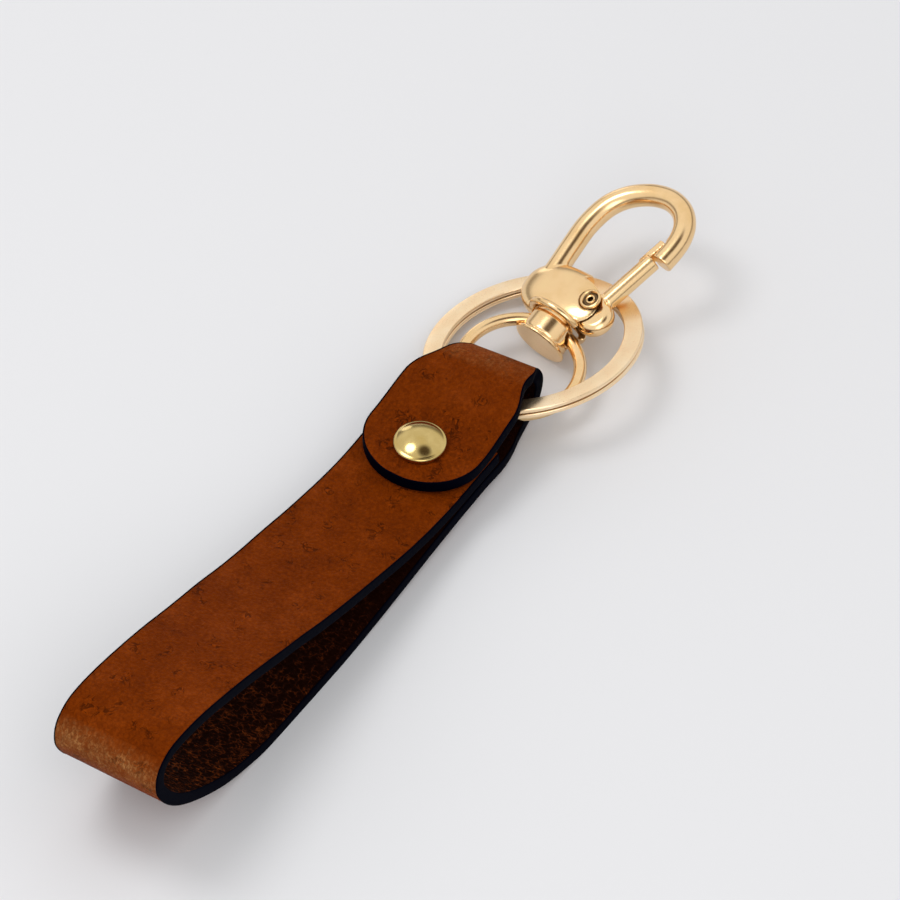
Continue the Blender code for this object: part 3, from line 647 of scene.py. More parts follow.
def buffed(name, base, dull, bright, low, high, wear_rate):
    """A buffed metal: nearly a mirror, with faint hairlines and handling marks, and
    painted shade in its hollows."""
    made, tree, shader, place = finish_base(name, base, {"Metallic": 1.0, "Roughness": low})
    clouds = add_node(tree, NOISE, {"Vector": place, "Scale": wear_rate, "Detail": 3.0})
    tone = add_node(tree, RAMP, {"Fac": clouds}, [(0.3, dull), (0.5, base), (0.7, bright)])
    # Painted shade: points with a stored share are darkened towards a deep brown
    shade_share = add_node(tree, "ShaderNodeAttribute", attribute_name="painted_shade").outputs["Fac"]
    shaded_tone = add_node(tree, MIX, {"Factor": shade_share, "A": tone, "B": "2E1606"}, data_type="RGBA")
    hairlines = add_node(tree, NOISE, {"Vector": place, "Scale": 6.0, "Detail": 5.0,
                                       "Roughness": 0.7})
    gloss = add_node(tree, RANGE, {"Value": hairlines, "From Min": 0.35, "From Max": 0.7,
                                   "To Min": low, "To Max": high})
    bump = add_node(tree, "ShaderNodeBump", {"Height": clouds, "Strength": 0.06,
                                             "Distance": 0.05 * MM})
    feed(tree, shader, {"Base Color": shaded_tone, "Roughness": gloss, "Normal": bump})
    return made


def polished_pale_gold_casting(sizes):
    """Gold-plated zinc, cast and buffed before plating, so it is the brightest."""
    return buffed("polished_pale_gold_casting", sizes.clasp_colour, "EEC68C", "F6D49E",
                  0.16, 0.24, 0.2)


def tumbled_pale_gold_band(sizes):
    """Gold-plated steel band, tumbled rather than buffed, so it is paler and softer."""
    return buffed("tumbled_pale_gold_band", sizes.ring_colour, "FAD9AE", "FFE6C2", 0.26, 0.36, 0.25)


def polished_yellow_brass(sizes):
    """Bare yellow brass, spun and polished, so it is greener than the plating."""
    return buffed("polished_yellow_brass", sizes.rivet_colour, "C6AA66", "D6BC7C", 0.12, 0.17, 0.4)


def drawn_spring_wire(sizes):
    """Hard-drawn music wire: grey, with a satin drawn surface."""
    return buffed("drawn_spring_wire", colour("A6A8AB"), "8E9093", "B8BABC", 0.25, 0.4, 1.5)


def look(maker, sizes):
    """The finish named like its maker, made once and then shared."""
    return bpy.data.materials.get(maker.__name__) or maker(sizes)


def stain(mesh, share_at):
    """Store how much painted shade each point of a clasp piece gets."""
    back = CLASP.inverted()
    shade_share = mesh.attributes.new("painted_shade", "FLOAT", "POINT")
    for index, vertex in enumerate(mesh.vertices):
        shade_share.data[index].value = share_at(back @ vertex.co)


# Settings a user would change
TINT = {"subtype": "COLOR", "size": 3, "min": 0.0, "max": 1.0}
LENGTH = {"subtype": "DISTANCE", "unit": "LENGTH"}


class KeychainLeather(PropertyGroup):
    hide_colour: FloatVectorProperty(
        name="Hide Colour", description="Dye of the outer leather",
        default=colour("702C01"), **TINT)
    lining_colour: FloatVectorProperty(
        name="Lining Colour", description="Dye of the lining leather",
        default=colour("200A03"), **TINT)
    edge_colour: FloatVectorProperty(
        name="Edge Colour", description="Paint on the cut edges", default=colour("01020C"), **TINT)
    edge_bulge: FloatProperty(
        name="Edge Bulge", description="How far the edge paint stands out",
        min=0.0, default=0.18 * MM, **LENGTH)
    waviness: FloatProperty(
        name="Waviness", description="Uneven lie of the leather",
        min=0.0, default=0.12 * MM, **LENGTH)


class KeychainRings(PropertyGroup):
    ring_colour: FloatVectorProperty(
        name="Split Ring Colour", description="Plating of the split ring",
        default=colour("FDE0B6"), **TINT)
    split_radius: FloatProperty(
        name="Split Ring Radius", description="Middle of the split ring's band",
        default=16.0 * MM, **LENGTH)
    split_band: FloatProperty(
        name="Band Width", description="Width of the split ring's flat band",
        default=3.0 * MM, **LENGTH)
    split_coil: FloatProperty(
        name="Coil Thickness", description="Thickness of one coil of the split ring",
        default=0.78 * MM, **LENGTH)
    jump_radius: FloatProperty(
        name="Jump Ring Radius", description="Middle of the jump ring's wire",
        default=9.45 * MM, **LENGTH)
    wire_radius: FloatProperty(
        name="Wire Radius", description="Half the jump ring's wire thickness",
        default=1.05 * MM, **LENGTH)


class KeychainClasp(PropertyGroup):
    clasp_colour: FloatVectorProperty(
        name="Clasp Colour", description="Plating of the clasp and the jump ring",
        default=colour("F5D09C"), **TINT)
    bar_radius: FloatProperty(
        name="Hook Bar Radius", description="Half the hook's bar thickness",
        default=1.8 * MM, **LENGTH)
    casting_voxel: FloatProperty(
        name="Casting Detail", description="Facet size of the cast pieces",
        min=0.08 * MM, default=0.14 * MM, **LENGTH)
    polish_steps: IntProperty(
        name="Polish", description="How far the castings' edges are buffed round", min=0, default=5)


class KeychainRivet(PropertyGroup):
    rivet_colour: FloatVectorProperty(
        name="Rivet Colour", description="Brass of the rivet", default=colour("CAB070"), **TINT)
    cap_rim: FloatProperty(
        name="Cap Rim", description="Height of the caps' rolled rim", default=0.42 * MM, **LENGTH)


class KeychainStage(PropertyGroup):
    floor_colour: FloatVectorProperty(
        name="Floor Colour", description="Pale floor under the object",
        default=colour("E8E8EA"), **TINT)
    light_power: FloatProperty(
        name="Light Power", description="Power of the main soft light in watts",
        min=0.0, default=3.0)


# Strap
def flat_stops():
    """Distances along the strap, close together round the tab's tip."""
    turns = evenly(TAB_BLUNT_ANGLE, math.pi / 2, TIP_STEPS)[:-1]
    return ([TAB_ROUND * (1 - math.cos(turn)) for turn in turns]
            + evenly(TAB_ROUND, strap_length, STRAP_STEPS))


def wave(distance, across, amount):
    """A slow unevenness of the leather, in and out of its face."""
    return amount * noise.noise(Vector((distance, across, 0.0)) * WAVE_RATE)


def bend_share(distance):
    """How sharply the strap bends here, from 0 to 1."""
    first = along(distance - BEND_REACH)[1]
    second = along(distance + BEND_REACH)[1]
    return min(1.0, first.angle(second) / BEND_FULL)


def leather_mesh(name, depth, thickness, corner, waviness):
    """A bent strip with rounded long edges; its points carry the bend's amount."""
    shares = evenly(-1.0, 1.0, ACROSS_STEPS)[1:-1]
    back = depth + thickness
    rings = []
    bends = []
    for distance in flat_stops():
        half = half_width(distance) * tip_share(distance)
        side = (arc((half - corner, depth + corner), corner, -90, 0, CORNER_STEPS)
                + arc((half - LINING_CORNER, back - LINING_CORNER), LINING_CORNER, 0, 90,
                      CORNER_STEPS))
        ring = [((half - corner) * share, depth) for share in shares] + side
        ring += [(-(half - LINING_CORNER) * share, back) for share in shares]
        ring += [(-across, level) for across, level in reversed(side)]
        bends += [bend_share(distance)] * len(ring)
        rings.append([strap_point(distance, across, level + wave(distance, across, waviness))
                      for across, level in ring])
    mesh = skin(name, rings)
    bend = mesh.attributes.new("bend", "FLOAT", "POINT")
    bend.data.foreach_set("value", bends[:len(mesh.vertices)])
    return mesh


def edge_run():
    """The strap's cut edge as flat points, from under the tab round its tip."""
    spots = [Vector((distance, half_width(distance)))
             for distance in evenly(strap_length, TAB_ROUND, EDGE_STEPS)]
    for turn in evenly(math.pi / 2, math.pi * 3 / 2, TIP_EDGE_STEPS)[1:-1]:
        distance = TAB_ROUND * (1 + math.cos(turn))
        spots.append(Vector((distance, half_width(distance) * math.sin(turn))))
    return spots + [Vector((distance, -half_width(distance)))
                    for distance in evenly(TAB_ROUND, strap_length, EDGE_STEPS)]


def edge_mesh(bulge, waviness):
    """The painted edge: one burnished bead over both leathers' cut edges."""
    full = HIDE_THICKNESS + GLUE_GAP + LINING_THICKNESS
    run = edge_run()
    rings = []
    for index, spot in enumerate(run):
        heading = run[min(index + 1, len(run) - 1)] - run[max(index - 1, 0)]
        heading.normalize()
        outward = Vector((-heading.y, heading.x))
        ring = []
        for angle in evenly(0.0, 2 * math.pi, EDGE_SIDES)[:-1]:
            out, deep = (math.copysign(abs(part) ** EDGE_SQUARENESS, part)
                         for part in (math.cos(angle), math.sin(angle)))
            uneven = noise.noise(Vector((spot.x, spot.y, out * MM)) * EDGE_WAVE_RATE)
            reach = (bulge if out > 0 else EDGE_WRAP) * (1 + EDGE_WOBBLE * uneven)
            flat = spot + outward * out * reach
            depth = full / 2 + deep * (full / 2 + EDGE_PROUD)
            ring.append(strap_point(flat.x, flat.y, depth + wave(spot.x, spot.y, waviness)))
        rings.append(ring)
    return skin("edge_paint", rings)


class KEYCHAIN_OT_strap(Operator):
    """Bend the hide and its lining round the rings and the finger loop"""
    bl_idname = "keychain.strap"
    bl_label = "Build Strap"

    def execute(self, context):
        sizes = context.scene.keychain_leather
        hide = leather_mesh("outer_hide", 0.0, HIDE_THICKNESS, HIDE_CORNER, sizes.waviness)
        place_piece("outer_hide", hide, "strap", ["strap_outer_hide"],
                    look(waxed_brown_cowhide, sizes), SHEET_CREASE)
        lining = leather_mesh("inner_lining", HIDE_THICKNESS + GLUE_GAP / 2,
                              LINING_THICKNESS, LINING_CORNER, sizes.waviness)
        place_piece("inner_lining", lining, "strap", ["strap_lining"],
                    look(pebbled_dark_lining, sizes), SHEET_CREASE)
        place_piece("edge_paint", edge_mesh(sizes.edge_bulge, sizes.waviness), "strap",
                    [], look(blue_black_edge_paint, sizes))
        return {"FINISHED"}


# Rivet
CAP_RADIUS = 4.25 * MM
CAP_CROWN_STEPS = 20
BACK_CAP_RADIUS = 4.0 * MM
CAP_WALL = 0.35 * MM
LATHE_SEGMENTS = 96


def cap_profile(radius, rise, rim):
    """A spun cap's outline: crown, rolled rim and the thin wall behind them."""
    crown = rise - rim
    bend = (radius ** 2 + crown ** 2) / (2 * crown)
    sweep = math.asin((radius - rim) / bend)
    outline = [(bend * math.sin(turn), rise - bend * (1 - math.cos(turn)))
               for turn in evenly(0.0, sweep, CAP_CROWN_STEPS)]
    across, level = outline[-1]
    corner = radius - across
    outline += [(across + corner * math.sin(turn), level - corner * (1 - math.cos(turn)))
                for turn in evenly(0.0, math.pi / 2, CORNER_STEPS * 2)[1:]]
    return outline + [(radius, 0.0), (radius - CAP_WALL, 0.0),
                      (radius - CAP_WALL, level - CAP_WALL), (0.0, rise - CAP_WALL)]


class KEYCHAIN_OT_rivet(Operator):
    """Spin the rivet's two caps; its socket and post keep their own shape"""
    bl_idname = "keychain.rivet"
    bl_label = "Build Rivet"

    def execute(self, context):
        sizes = context.scene.keychain_rivet
        brass = look(polished_yellow_brass, sizes)
        for name, node, radius, flipped in (
                ("front_cap", "rivet_front_cap", CAP_RADIUS, False),
                ("back_cap", "rivet_back_cap", BACK_CAP_RADIUS, True)):
            low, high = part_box(node)
            mesh = lathe(cap_profile(radius, high.z - low.z, sizes.cap_rim), LATHE_SEGMENTS)
            place = Vector(((low.x + high.x) / 2, (low.y + high.y) / 2,
                            high.z if flipped else low.z))
            turn = Matrix.Rotation(math.pi if flipped else 0.0, 4, "X")
            mesh.transform(Matrix.Translation(place) @ turn)
            place_piece(name, mesh, "strap", [node], brass, STAMPED_CREASE)
        for node in ("rivet_front_socket", "rivet_back_post"):
            part = frame["nodes"][node]
            part.data.materials.clear()
            part.data.materials.append(brass)
        return {"FINISHED"}


# Rings
SPLIT_CENTRE = Vector((29.4, -2.0, 6.1)) * MM
SPLIT_PITCH = math.radians(4.3)
SPLIT_ROLL = math.radians(-15.2)
SPLIT_JOGGLE = math.radians(34)
SPLIT_END_GAP = math.radians(3)
SPLIT_JOGGLE_AT = math.radians(165)
SPLIT_GAP = 0.2 * MM
SPLIT_CORNER = 0.24 * MM
SPLIT_STEPS = 420
JUMP_CENTRE = Vector((25.1, -2.2, 5.5)) * MM
JUMP_PITCH = math.radians(-2.2)
JUMP_ROLL = math.radians(2.5)
JUMP_STEPS = 160
JUMP_SIDES = 36


def ring_pose(centre, pitch, roll):
    return (Matrix.Translation(centre + ORIGIN) @ Matrix.Rotation(pitch, 4, "Y")
            @ Matrix.Rotation(roll, 4, "X"))


class KEYCHAIN_OT_rings(Operator):
    """Wind the two-coil split ring and bend the jump ring"""
    bl_idname = "keychain.rings"
    bl_label = "Build Rings"

    def execute(self, context):
        sizes = context.scene.keychain_rings
        rise = sizes.split_coil + SPLIT_GAP
        first = SPLIT_JOGGLE / 2 + SPLIT_END_GAP
        coil = []
        for turn in evenly(first, 4 * math.pi - first, SPLIT_STEPS):
            share = (turn - 2 * math.pi + SPLIT_JOGGLE / 2) / SPLIT_JOGGLE
            facing = turn + SPLIT_JOGGLE_AT
            coil.append((sizes.split_radius * math.cos(facing),
                         sizes.split_radius * math.sin(facing), rise * (ease(share) - 0.5)))
        metal = look(tumbled_pale_gold_band, sizes)
        mesh = bar_mesh(coil, False, {
            "Band Width": sizes.split_band, "Band Thickness": sizes.split_coil,
            "Band Corner": SPLIT_CORNER, "Is Band": True, "Finish": metal})
        mesh.transform(ring_pose(SPLIT_CENTRE, SPLIT_PITCH, SPLIT_ROLL))
        place_piece("split_ring_band", mesh, "large_ring", ["split_ring"], metal,
                    STAMPED_CREASE)

        loop = [(*spot, 0.0) for spot in arc((0.0, 0.0), sizes.jump_radius, 0, 360, JUMP_STEPS)]
        metal = look(polished_pale_gold_casting, context.scene.keychain_clasp)
        mesh = bar_mesh(loop[:-1], True, {"Bar Radius": sizes.wire_radius,
                                          "Sides": JUMP_SIDES, "Finish": metal})
        mesh.transform(ring_pose(JUMP_CENTRE, JUMP_PITCH, JUMP_ROLL))
        place_piece("jump_ring_wire", mesh, "small_ring", ["jump_ring"], metal)
        return {"FINISHED"}


# Clasp
DISC_RADIUS = 4.5 * MM
DISC_BACK_X = -3.6 * MM
DISC_THICKNESS = 0.6 * MM
DISC_FRONT_X = DISC_BACK_X + DISC_THICKNESS
DISC_EDGE = 0.2 * MM
DISC_EDGE_STEPS = 4
BARREL_RADIUS = 4.0 * MM
GROOVE_RADIUS = 3.7 * MM
BARREL_END_X = 2.1 * MM
SHOULDER_SHARE = 0.8
SHOULDER_STEPS = 14
STEM_RADIUS = 1.2 * MM
STEM_END_X = 5.7 * MM
HEAD_RADIUS = 1.85 * MM
HEAD_THICKNESS = 1.0 * MM
EYE_CLEARANCE = 0.35 * MM
EYE_FLARE_SHARE = 1.15
EYE_FLARE_STEPS = 16
OVERRUN = 3.0 * MM
BODY_CENTRE = Vector((5.2, 1.1, 0.0)) * MM
BODY_HALF = Vector((5.3, 8.5, 3.0)) * MM
BODY_TAPER_SHARE = 0.24
BODY_SQUARENESS = 2.3
BODY_SEGMENTS = 96
BODY_RINGS = 64
SCOOP_GAP = 0.32 * MM
SCOOP_FACE_SHARE = 0.6
HEAD_GAP = 0.3 * MM
STEM_CLEARANCE = 0.25 * MM
LIP_RADIUS = 4.75 * MM
LIP_BAR = 0.62 * MM
LIP_X = 1.35 * MM
LIP_STEPS = 96
SLOT_HALF_HEIGHT = 1.66 * MM
SLOT_WALL_Y = -0.3 * MM
PIN_RADIUS = 0.6 * MM
PIN_CLEARANCE = 0.1 * MM
PIN_SEAT_Z = 2.1 * MM
PIN_SEAT_RADIUS = 1.92 * MM
PIN_TAIL_Z = -2.64 * MM
GATE_HALF_HEIGHT = 1.44 * MM
GATE_BAR_RADIUS = 1.45 * MM
GATE_HUB_RADIUS = 1.9 * MM
GATE_BAR_START = Vector((7.6, -5.3)) * MM
GATE_TIP = Vector((17.5, -7.4)) * MM
GATE_TIP_GAP = 0.3 * MM
TONGUE_LENGTH = 3.3 * MM
TONGUE_WIDTH = 1.2 * MM
TONGUE_HALF_HEIGHT = 1.0 * MM
TONGUE_ROOT = 1.5 * MM
SEAT_GAP = 0.28 * MM
THUMB_CENTRE = Vector((4.4, -5.6, 0.0)) * MM
THUMB_RADIUS = 3.14 * MM
THUMB_CROWN_STEPS = 18
POCKET_RADIUS = 1.5 * MM
POCKET_TOP_Z = 0.4 * MM
HOOK_STEPS = 90
CASTING_SIDES = 48

on_swivel_axis = Matrix.Rotation(math.radians(90), 4, "Y")
gate_heading = (GATE_TIP - GATE_BAR_START).normalized()
gate_across = Vector((-gate_heading.y, gate_heading.x))
gate_end = GATE_TIP - gate_heading * GATE_TIP_GAP
tongue_low = (gate_end - gate_heading * TONGUE_ROOT
              + gate_across * (GATE_BAR_RADIUS - TONGUE_WIDTH))
tongue_span = TONGUE_LENGTH + TONGUE_ROOT
tongue_pose = (Matrix.Translation((tongue_low.x, tongue_low.y, 0.0))
               @ Matrix.Rotation(math.atan2(gate_heading.y, gate_heading.x), 4, "Z"))


def swivel_outline():
    """The swivel's outline from its flat disc to the head that holds it in."""
    rim = DISC_RADIUS - DISC_EDGE
    reach = BARREL_RADIUS - STEM_RADIUS
    length = reach * SHOULDER_SHARE
    outline = [(0.0, DISC_BACK_X)]
    outline += arc((rim, DISC_BACK_X + DISC_EDGE), DISC_EDGE, -90, 0, DISC_EDGE_STEPS)
    outline += arc((rim, DISC_FRONT_X - DISC_EDGE), DISC_EDGE, 0, 90, DISC_EDGE_STEPS)
    outline += [(GROOVE_RADIUS, DISC_FRONT_X), (GROOVE_RADIUS, DISC_FRONT_X + DISC_EDGE),
                (BARREL_RADIUS, DISC_FRONT_X + 2 * DISC_EDGE)]
    outline += [(STEM_RADIUS + reach * out, BARREL_END_X - length + length * on)
                for out, on in arc((0.0, 0.0), 1.0, 0, 90, SHOULDER_STEPS)]
    return outline + [(STEM_RADIUS, STEM_END_X), (HEAD_RADIUS, STEM_END_X),
                      (HEAD_RADIUS, STEM_END_X + HEAD_THICKNESS),
                      (0.0, STEM_END_X + HEAD_THICKNESS)]


def eye_tool(wire_radius, ring_radius):
    """The flared hole that the jump ring's curved wire passes."""
    reach = BARREL_RADIUS + OVERRUN
    flare = []
    for out in evenly(reach, -reach, EYE_FLARE_STEPS):
        sag = ring_radius - math.sqrt(ring_radius ** 2 - out ** 2)
        flare.append((wire_radius + EYE_CLEARANCE + sag * EYE_FLARE_SHARE, out))
    mesh = lathe([(0.0, reach)] + flare + [(0.0, -reach)], CASTING_SIDES)
    wire = ring_pose(JUMP_CENTRE, JUMP_PITCH, JUMP_ROLL).to_3x3() @ Vector((0, 1, 0))
    heading = CLASP.inverted().to_3x3() @ wire
    return moved(mesh, Vector((0, 0, 1)).rotation_difference(heading).to_matrix().to_4x4())


def casting_mesh():
    """The body's pillow shape: a squared-off egg that thins towards the hook."""
    work = bmesh.new()
    bmesh.ops.create_uvsphere(work, u_segments=BODY_SEGMENTS, v_segments=BODY_RINGS, radius=1.0)
    power = 2 / BODY_SQUARENESS
    for spot in work.verts:
        x, y, z = (math.copysign(abs(part) ** power, part) for part in spot.co)
        z *= 1 - BODY_TAPER_SHARE * (x + 1) / 2
        spot.co = Vector((x, y, z)) * BODY_HALF + BODY_CENTRE
    return baked(work, "casting")


def upright(profile, spot, segments=CASTING_SIDES):
    return moved(lathe(profile, segments), Matrix.Translation(spot))


def pin_drum(radius, low, high):
    """A cylinder round the gate pin's axis."""
    return upright([(0.0, high), (radius, high), (radius, low), (0.0, low)], PIN_SPOT)


def scoop_mesh():
    """The hollow in the body that the barrel, stem and head turn in."""
    kept = [(radius + SCOOP_GAP, place + SCOOP_GAP * SCOOP_FACE_SHARE)
            for radius, place in swivel_outline()
            if DISC_FRONT_X + SCOOP_GAP < place <= BARREL_END_X and radius >= STEM_RADIUS]
    head_end = STEM_END_X + HEAD_THICKNESS + HEAD_GAP
    profile = [(0.0, DISC_BACK_X - OVERRUN), (DISC_RADIUS + SCOOP_GAP, DISC_BACK_X - OVERRUN),
               (DISC_RADIUS + SCOOP_GAP, DISC_FRONT_X + SCOOP_GAP)] + kept
    profile += [(STEM_RADIUS + STEM_CLEARANCE, BARREL_END_X + SCOOP_GAP),
                (STEM_RADIUS + STEM_CLEARANCE, STEM_END_X - HEAD_GAP),
                (HEAD_RADIUS + HEAD_GAP, STEM_END_X - HEAD_GAP),
                (HEAD_RADIUS + HEAD_GAP, head_end), (0.0, head_end)]
    return moved(lathe(profile, CASTING_SIDES), on_swivel_axis)


def round_bar(points, radius, cyclic=False):
    return bar_mesh(points, cyclic, {"Bar Radius": radius, "Sides": CASTING_SIDES})


class KEYCHAIN_OT_swivel(Operator):
    """Turn the swivel and drill the hole for the jump ring"""
    bl_idname = "keychain.swivel"
    bl_label = "Build Swivel"

    def execute(self, context):
        clasp = context.scene.keychain_clasp
        rings = context.scene.keychain_rings
        turned = moved(lathe(swivel_outline(), LATHE_SEGMENTS), on_swivel_axis)
        mesh = sculpt([turned], [eye_tool(rings.wire_radius, rings.jump_radius)], clasp)
        place_piece("swivel_turning", mesh, "swivel", ["swivel_eye"],
                    look(polished_pale_gold_casting, clasp))
        return {"FINISHED"}


class KEYCHAIN_OT_hook(Operator):
    """Cast the hook with its body, the barrel's lip, the gate slot and pin seat"""
    bl_idname = "keychain.hook"
    bl_label = "Build Hook"

    def execute(self, context):
        clasp = context.scene.keychain_clasp
        hook_at, hook_length = through(HOOK_KNOTS)
        line = [(*hook_at(stop), 0.0) for stop in evenly(0.0, hook_length, HOOK_STEPS)]
        lip = [(LIP_X, *spot) for spot in arc((0.0, 0.0), LIP_RADIUS, 0, 360, LIP_STEPS)]
        top = BODY_HALF.z + OVERRUN
        slot = box_mesh((-OVERRUN, BODY_CENTRE.y - BODY_HALF.y - OVERRUN, -SLOT_HALF_HEIGHT),
                        (BODY_CENTRE.x + BODY_HALF.x + OVERRUN, SLOT_WALL_Y, SLOT_HALF_HEIGHT))
        reach = GATE_BAR_RADIUS + clasp.bar_radius
        nose = moved(box_mesh((-SEAT_GAP, -SEAT_GAP, -reach),
                              (tongue_span + SEAT_GAP, reach, reach)), tongue_pose)
        mesh = sculpt([casting_mesh(), round_bar(line, clasp.bar_radius),
                       round_bar(lip[:-1], LIP_BAR, True)],
                      [scoop_mesh(), slot, pin_drum(PIN_RADIUS + PIN_CLEARANCE, -top, top),
                       pin_drum(PIN_SEAT_RADIUS, PIN_SEAT_Z, top), nose], clasp)
        stain(mesh, seat_share)
        place_piece("hook_casting", mesh, "hook", ["hook_body"],
                    look(polished_pale_gold_casting, clasp))
        return {"FINISHED"}


class KEYCHAIN_OT_gate(Operator):
    """Cast the gate with its thumb lever and lapped tip"""
    bl_idname = "keychain.gate"
    bl_label = "Build Gate"

    def execute(self, context):
        clasp = context.scene.keychain_clasp
        top = GATE_HALF_HEIGHT
        bar = round_bar([(*GATE_BAR_START, 0.0), (*gate_end, 0.0)], GATE_BAR_RADIUS)
        crown = arc((THUMB_RADIUS - top, 0.0), top, 90, -90, THUMB_CROWN_STEPS)
        thumb = upright([(0.0, top)] + crown + [(0.0, -top)], THUMB_CENTRE, LATHE_SEGMENTS)
        tongue = moved(box_mesh((0.0, 0.0, -TONGUE_HALF_HEIGHT),
                                (tongue_span, TONGUE_WIDTH, TONGUE_HALF_HEIGHT)), tongue_pose)
        bore = pin_drum(PIN_RADIUS + PIN_CLEARANCE, -top - OVERRUN, top + OVERRUN)
        pocket = pin_drum(POCKET_RADIUS, -top - OVERRUN, POCKET_TOP_Z)
        mesh = sculpt([bar, pin_drum(GATE_HUB_RADIUS, -top, top), thumb, tongue],
                      [bore, pocket, scoop_mesh()], clasp)
        place_piece("gate_casting", mesh, "trigger", ["gate"],
                    look(polished_pale_gold_casting, clasp))
        return {"FINISHED"}


# The pin's head, in millimetres: a flat rim round a cup with the drilled end in it
PIN_HEAD_PROFILE = [
    (0.0, 1.62), (0.42, 1.62), (0.42, 2.3), (0.5, 2.42), (0.62, 2.45), (0.74, 2.4),
    (0.82, 2.24), (1.1, 2.2), (1.22, 2.3), (1.3, 2.5), (1.4, 2.6), (1.56, 2.6),
    (1.69, 2.53), (1.75, 2.42), (1.75, 2.2), (0.6, 2.2)]
CUP_DEPTH_Z = 2.32 * MM
CUP_RADIUS = 1.26 * MM
SEAT_REACH = 0.12 * MM
SEAT_SHADE_TOP = 2.44 * MM
# Painted shade in the pin's cup and round its seat, as darkening shares
CUP_PAINTED_SHADE = 0.85
SEAT_PAINTED_SHADE = 0.6
SPRING_TURNS = 2
SPRING_POINTS = 32
SPRING_RADIUS = 1.15 * MM
SPRING_PITCH = 0.66 * MM
SPRING_WIRE = 0.11 * MM
SPRING_SIDES = 14
SPRING_BASE_Z = -1.17 * MM


def cup_share(spot):
    """How much painted shade the cup in the pin's head gets."""
    away = (spot - PIN_SPOT).xy.length
    return CUP_PAINTED_SHADE if away < CUP_RADIUS and spot.z < CUP_DEPTH_Z else 0.0


def seat_share(spot):
    """How much painted shade the hook's body gets round the pin's head."""
    away = (spot - PIN_SPOT).xy.length
    low = spot.z < SEAT_SHADE_TOP and abs(spot.z) > SLOT_HALF_HEIGHT
    return SEAT_PAINTED_SHADE if low and away < PIN_SEAT_RADIUS + SEAT_REACH else 0.0


class KEYCHAIN_OT_pin(Operator):
    """Turn the gate pin with its eyelet head and wind the return spring"""
    bl_idname = "keychain.pin"
    bl_label = "Build Pin and Spring"

    def execute(self, context):
        clasp = context.scene.keychain_clasp
        profile = [(radius * MM, height * MM) for radius, height in PIN_HEAD_PROFILE]
        profile += [(PIN_RADIUS, PIN_TAIL_Z), (0.0, PIN_TAIL_Z)]
        mesh = moved(upright(profile, PIN_SPOT, LATHE_SEGMENTS), CLASP)
        stain(mesh, cup_share)
        place_piece("pin_eyelet", mesh, "hook", ["gate_pin"],
                    look(polished_pale_gold_casting, clasp), EYELET_CREASE)

        wound = []
        for turn in evenly(0.0, SPRING_TURNS, SPRING_TURNS * SPRING_POINTS):
            facing = 2 * math.pi * turn
            wound.append((PIN_SPOT.x + SPRING_RADIUS * math.cos(facing),
                          PIN_SPOT.y + SPRING_RADIUS * math.sin(facing),
                          SPRING_BASE_Z + SPRING_PITCH * turn))
        steel = look(drawn_spring_wire, clasp)
        mesh = moved(bar_mesh(wound, False, {"Bar Radius": SPRING_WIRE, "Sides": SPRING_SIDES,
                                             "Finish": steel}), CLASP)
        place_piece("return_spring", mesh, "hook", ["gate_spring"], steel)
        return {"FINISHED"}


# Stage: the camera's place comes from the photograph's view
CAMERA_TARGET = Vector((1.70, -4.44, 9.64)) * MM
CAMERA_AZIMUTH = math.radians(-57.0)
CAMERA_ELEVATION = math.radians(49.0)
CAMERA_DISTANCE = 6.0
CAMERA_NEAR = 1.0
VIEW_WIDTH = 140.1 * MM
SENSOR_WIDTH = 36.0
FLOOR_REACH = 1.6
FLOOR_TOP_Z = -0.05 * MM
FLOOR_BOTTOM_Z = -2 * MM
DAYLIGHT_STRENGTH = 0.74
RIG_DIRECTION = (0.016, -0.217, 0.976)
# Each light's place and disc size in metres, and its share of the main power
LIGHTS = {
    "key_light": ((-0.1, 0.3, 0.7), 0.32, 0.4),
    "fill_light": ((-0.45, -0.35, 0.5), 0.5, 0.33),
    "far_light": ((0.55, 0.66, 0.12), 0.22, 0.05)}


def studio(floor_colour):
    """A white soft studio that lights the piece, shows the floor's own colour behind
    it, and gives metal dim walls, a pale ceiling and a dark rig to reflect."""
    world = bpy.data.worlds.new("soft_studio")
    world.use_nodes = True
    tree = world.node_tree
    sky = tree.nodes["Background"]
    feed(tree, sky, {"Color": (1.0, 1.0, 1.0, 1.0), "Strength": DAYLIGHT_STRENGTH})
    backdrop = add_node(tree, "ShaderNodeBackground", {"Color": (*floor_colour, 1.0)})
    facing = add_node(tree, "ShaderNodeTexCoord").outputs["Generated"]
    height = add_node(tree, "ShaderNodeSeparateXYZ", {"Vector": facing}).outputs["Z"]
    room = add_node(tree, RAMP, {"Fac": height}, [(0.0, floor_colour), (0.1, "86827E"),
                                                  (0.22, "A6A4A2"), (0.36, "F8F8F8")])
    towards_rig = add_node(tree, "ShaderNodeVectorMath", [facing, RIG_DIRECTION],
                           operation="DOT_PRODUCT")
    shadowed = add_node(tree, RAMP, {"Fac": towards_rig}, [(0.0, 0.0), (0.935, 0.0), (0.984, 1.0)])
    lined = add_node(tree, MIX, {"Factor": shadowed, "A": room, "B": "5A4E44"}, data_type="RGBA")
    walls = add_node(tree, "ShaderNodeBackground", {"Color": lined})
    path = add_node(tree, "ShaderNodeLightPath").outputs
    shown = add_node(tree, "ShaderNodeMixShader", [path["Is Glossy Ray"], backdrop, walls])
    seen = path["Is Camera Ray"]
    for ray in ("Is Transmission Ray", "Is Glossy Ray"):
        seen = add_node(tree, MATHS, [seen, path[ray]], operation="MAXIMUM")
    mixed = add_node(tree, "ShaderNodeMixShader", [seen, sky, shown])
    feed(tree, tree.nodes["World Output"], {"Surface": mixed})
    return world


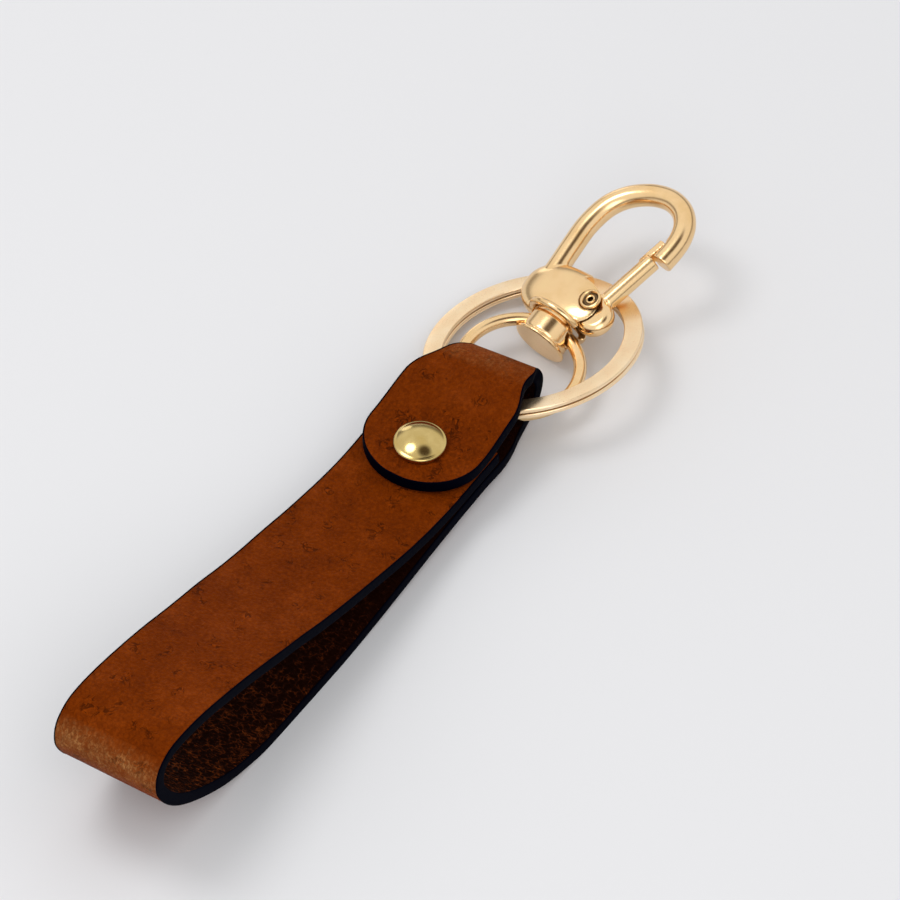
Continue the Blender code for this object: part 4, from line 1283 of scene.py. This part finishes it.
class KEYCHAIN_OT_stage(Operator):
    """Lay the pale floor, hang the soft lights and set the camera"""
    bl_idname = "keychain.stage"
    bl_label = "Build Stage"

    def execute(self, context):
        settings = context.scene.keychain_stage
        scene = context.scene
        scene.view_settings.view_transform = "Standard"
        scene.world = studio(settings.floor_colour)

        paper = bpy.data.materials.new("pale_seamless_paper")
        paper.use_nodes = True
        feed(paper.node_tree, paper.node_tree.nodes["Principled BSDF"],
             {"Base Color": (*settings.floor_colour, 1.0), "Roughness": 0.9,
              "Specular IOR Level": 0.1})
        floor = new_piece("floor", box_mesh((-FLOOR_REACH, -FLOOR_REACH, FLOOR_BOTTOM_Z),
                                            (FLOOR_REACH, FLOOR_REACH, FLOOR_TOP_Z)), paper)

        for name, (place, size, share) in LIGHTS.items():
            lamp = bpy.data.lights.new(name, "AREA")
            lamp.shape = "DISK"
            lamp.size = size
            lamp.energy = settings.light_power * share
            light = linked(name, lamp)
            light.location = place
            light.rotation_mode = "QUATERNION"
            light.rotation_quaternion = (ORIGIN - Vector(place)).to_track_quat("-Z", "Y")
            light.visible_camera = False

        back = Vector((math.sin(CAMERA_AZIMUTH) * math.cos(CAMERA_ELEVATION),
                       -math.cos(CAMERA_AZIMUTH) * math.cos(CAMERA_ELEVATION),
                       math.sin(CAMERA_ELEVATION)))
        lens = bpy.data.cameras.new("camera")
        lens.sensor_width = SENSOR_WIDTH
        lens.lens = SENSOR_WIDTH * CAMERA_DISTANCE / VIEW_WIDTH
        lens.clip_start = CAMERA_NEAR
        lens.clip_end = 2 * CAMERA_DISTANCE
        camera = linked("camera", lens)
        camera.location = CAMERA_TARGET + ORIGIN + back * CAMERA_DISTANCE
        camera.rotation_mode = "QUATERNION"
        camera.rotation_quaternion = (-back).to_track_quat("-Z", "Y")
        scene.camera = camera
        return {"FINISHED"}


class KEYCHAIN_PT_panel(Panel):
    bl_idname = "KEYCHAIN_PT_panel"
    bl_label = "Keychain"
    bl_space_type = "VIEW_3D"
    bl_region_type = "UI"
    bl_category = "Keychain"

    def draw(self, context):
        layout = self.layout
        for group, prefix in GROUPS:
            box = layout.box()
            for name in group.__annotations__:
                box.prop(getattr(context.scene, prefix), name)
        for operator in OPERATORS:
            layout.operator(operator.bl_idname)


GROUPS = [
    (KeychainLeather, "keychain_leather"), (KeychainRings, "keychain_rings"),
    (KeychainClasp, "keychain_clasp"), (KeychainRivet, "keychain_rivet"),
    (KeychainStage, "keychain_stage")]
OPERATORS = [
    KEYCHAIN_OT_stage, KEYCHAIN_OT_strap, KEYCHAIN_OT_rivet, KEYCHAIN_OT_rings,
    KEYCHAIN_OT_swivel, KEYCHAIN_OT_hook, KEYCHAIN_OT_gate, KEYCHAIN_OT_pin]


def register():
    for group, prefix in GROUPS:
        bpy.utils.register_class(group)
        setattr(bpy.types.Scene, prefix, PointerProperty(type=group))
    for operator in OPERATORS:
        bpy.utils.register_class(operator)
    bpy.utils.register_class(KEYCHAIN_PT_panel)


def unregister():
    bpy.utils.unregister_class(KEYCHAIN_PT_panel)
    for operator in reversed(OPERATORS):
        bpy.utils.unregister_class(operator)
    for group, prefix in reversed(GROUPS):
        delattr(bpy.types.Scene, prefix)
        bpy.utils.unregister_class(group)


def main():
    register()
    bpy.ops.keychain.stage()
    bpy.ops.keychain.strap()
    bpy.ops.keychain.rivet()
    bpy.ops.keychain.rings()
    bpy.ops.keychain.swivel()
    bpy.ops.keychain.hook()
    bpy.ops.keychain.gate()
    bpy.ops.keychain.pin()


if __name__ == "__main__":
    main()
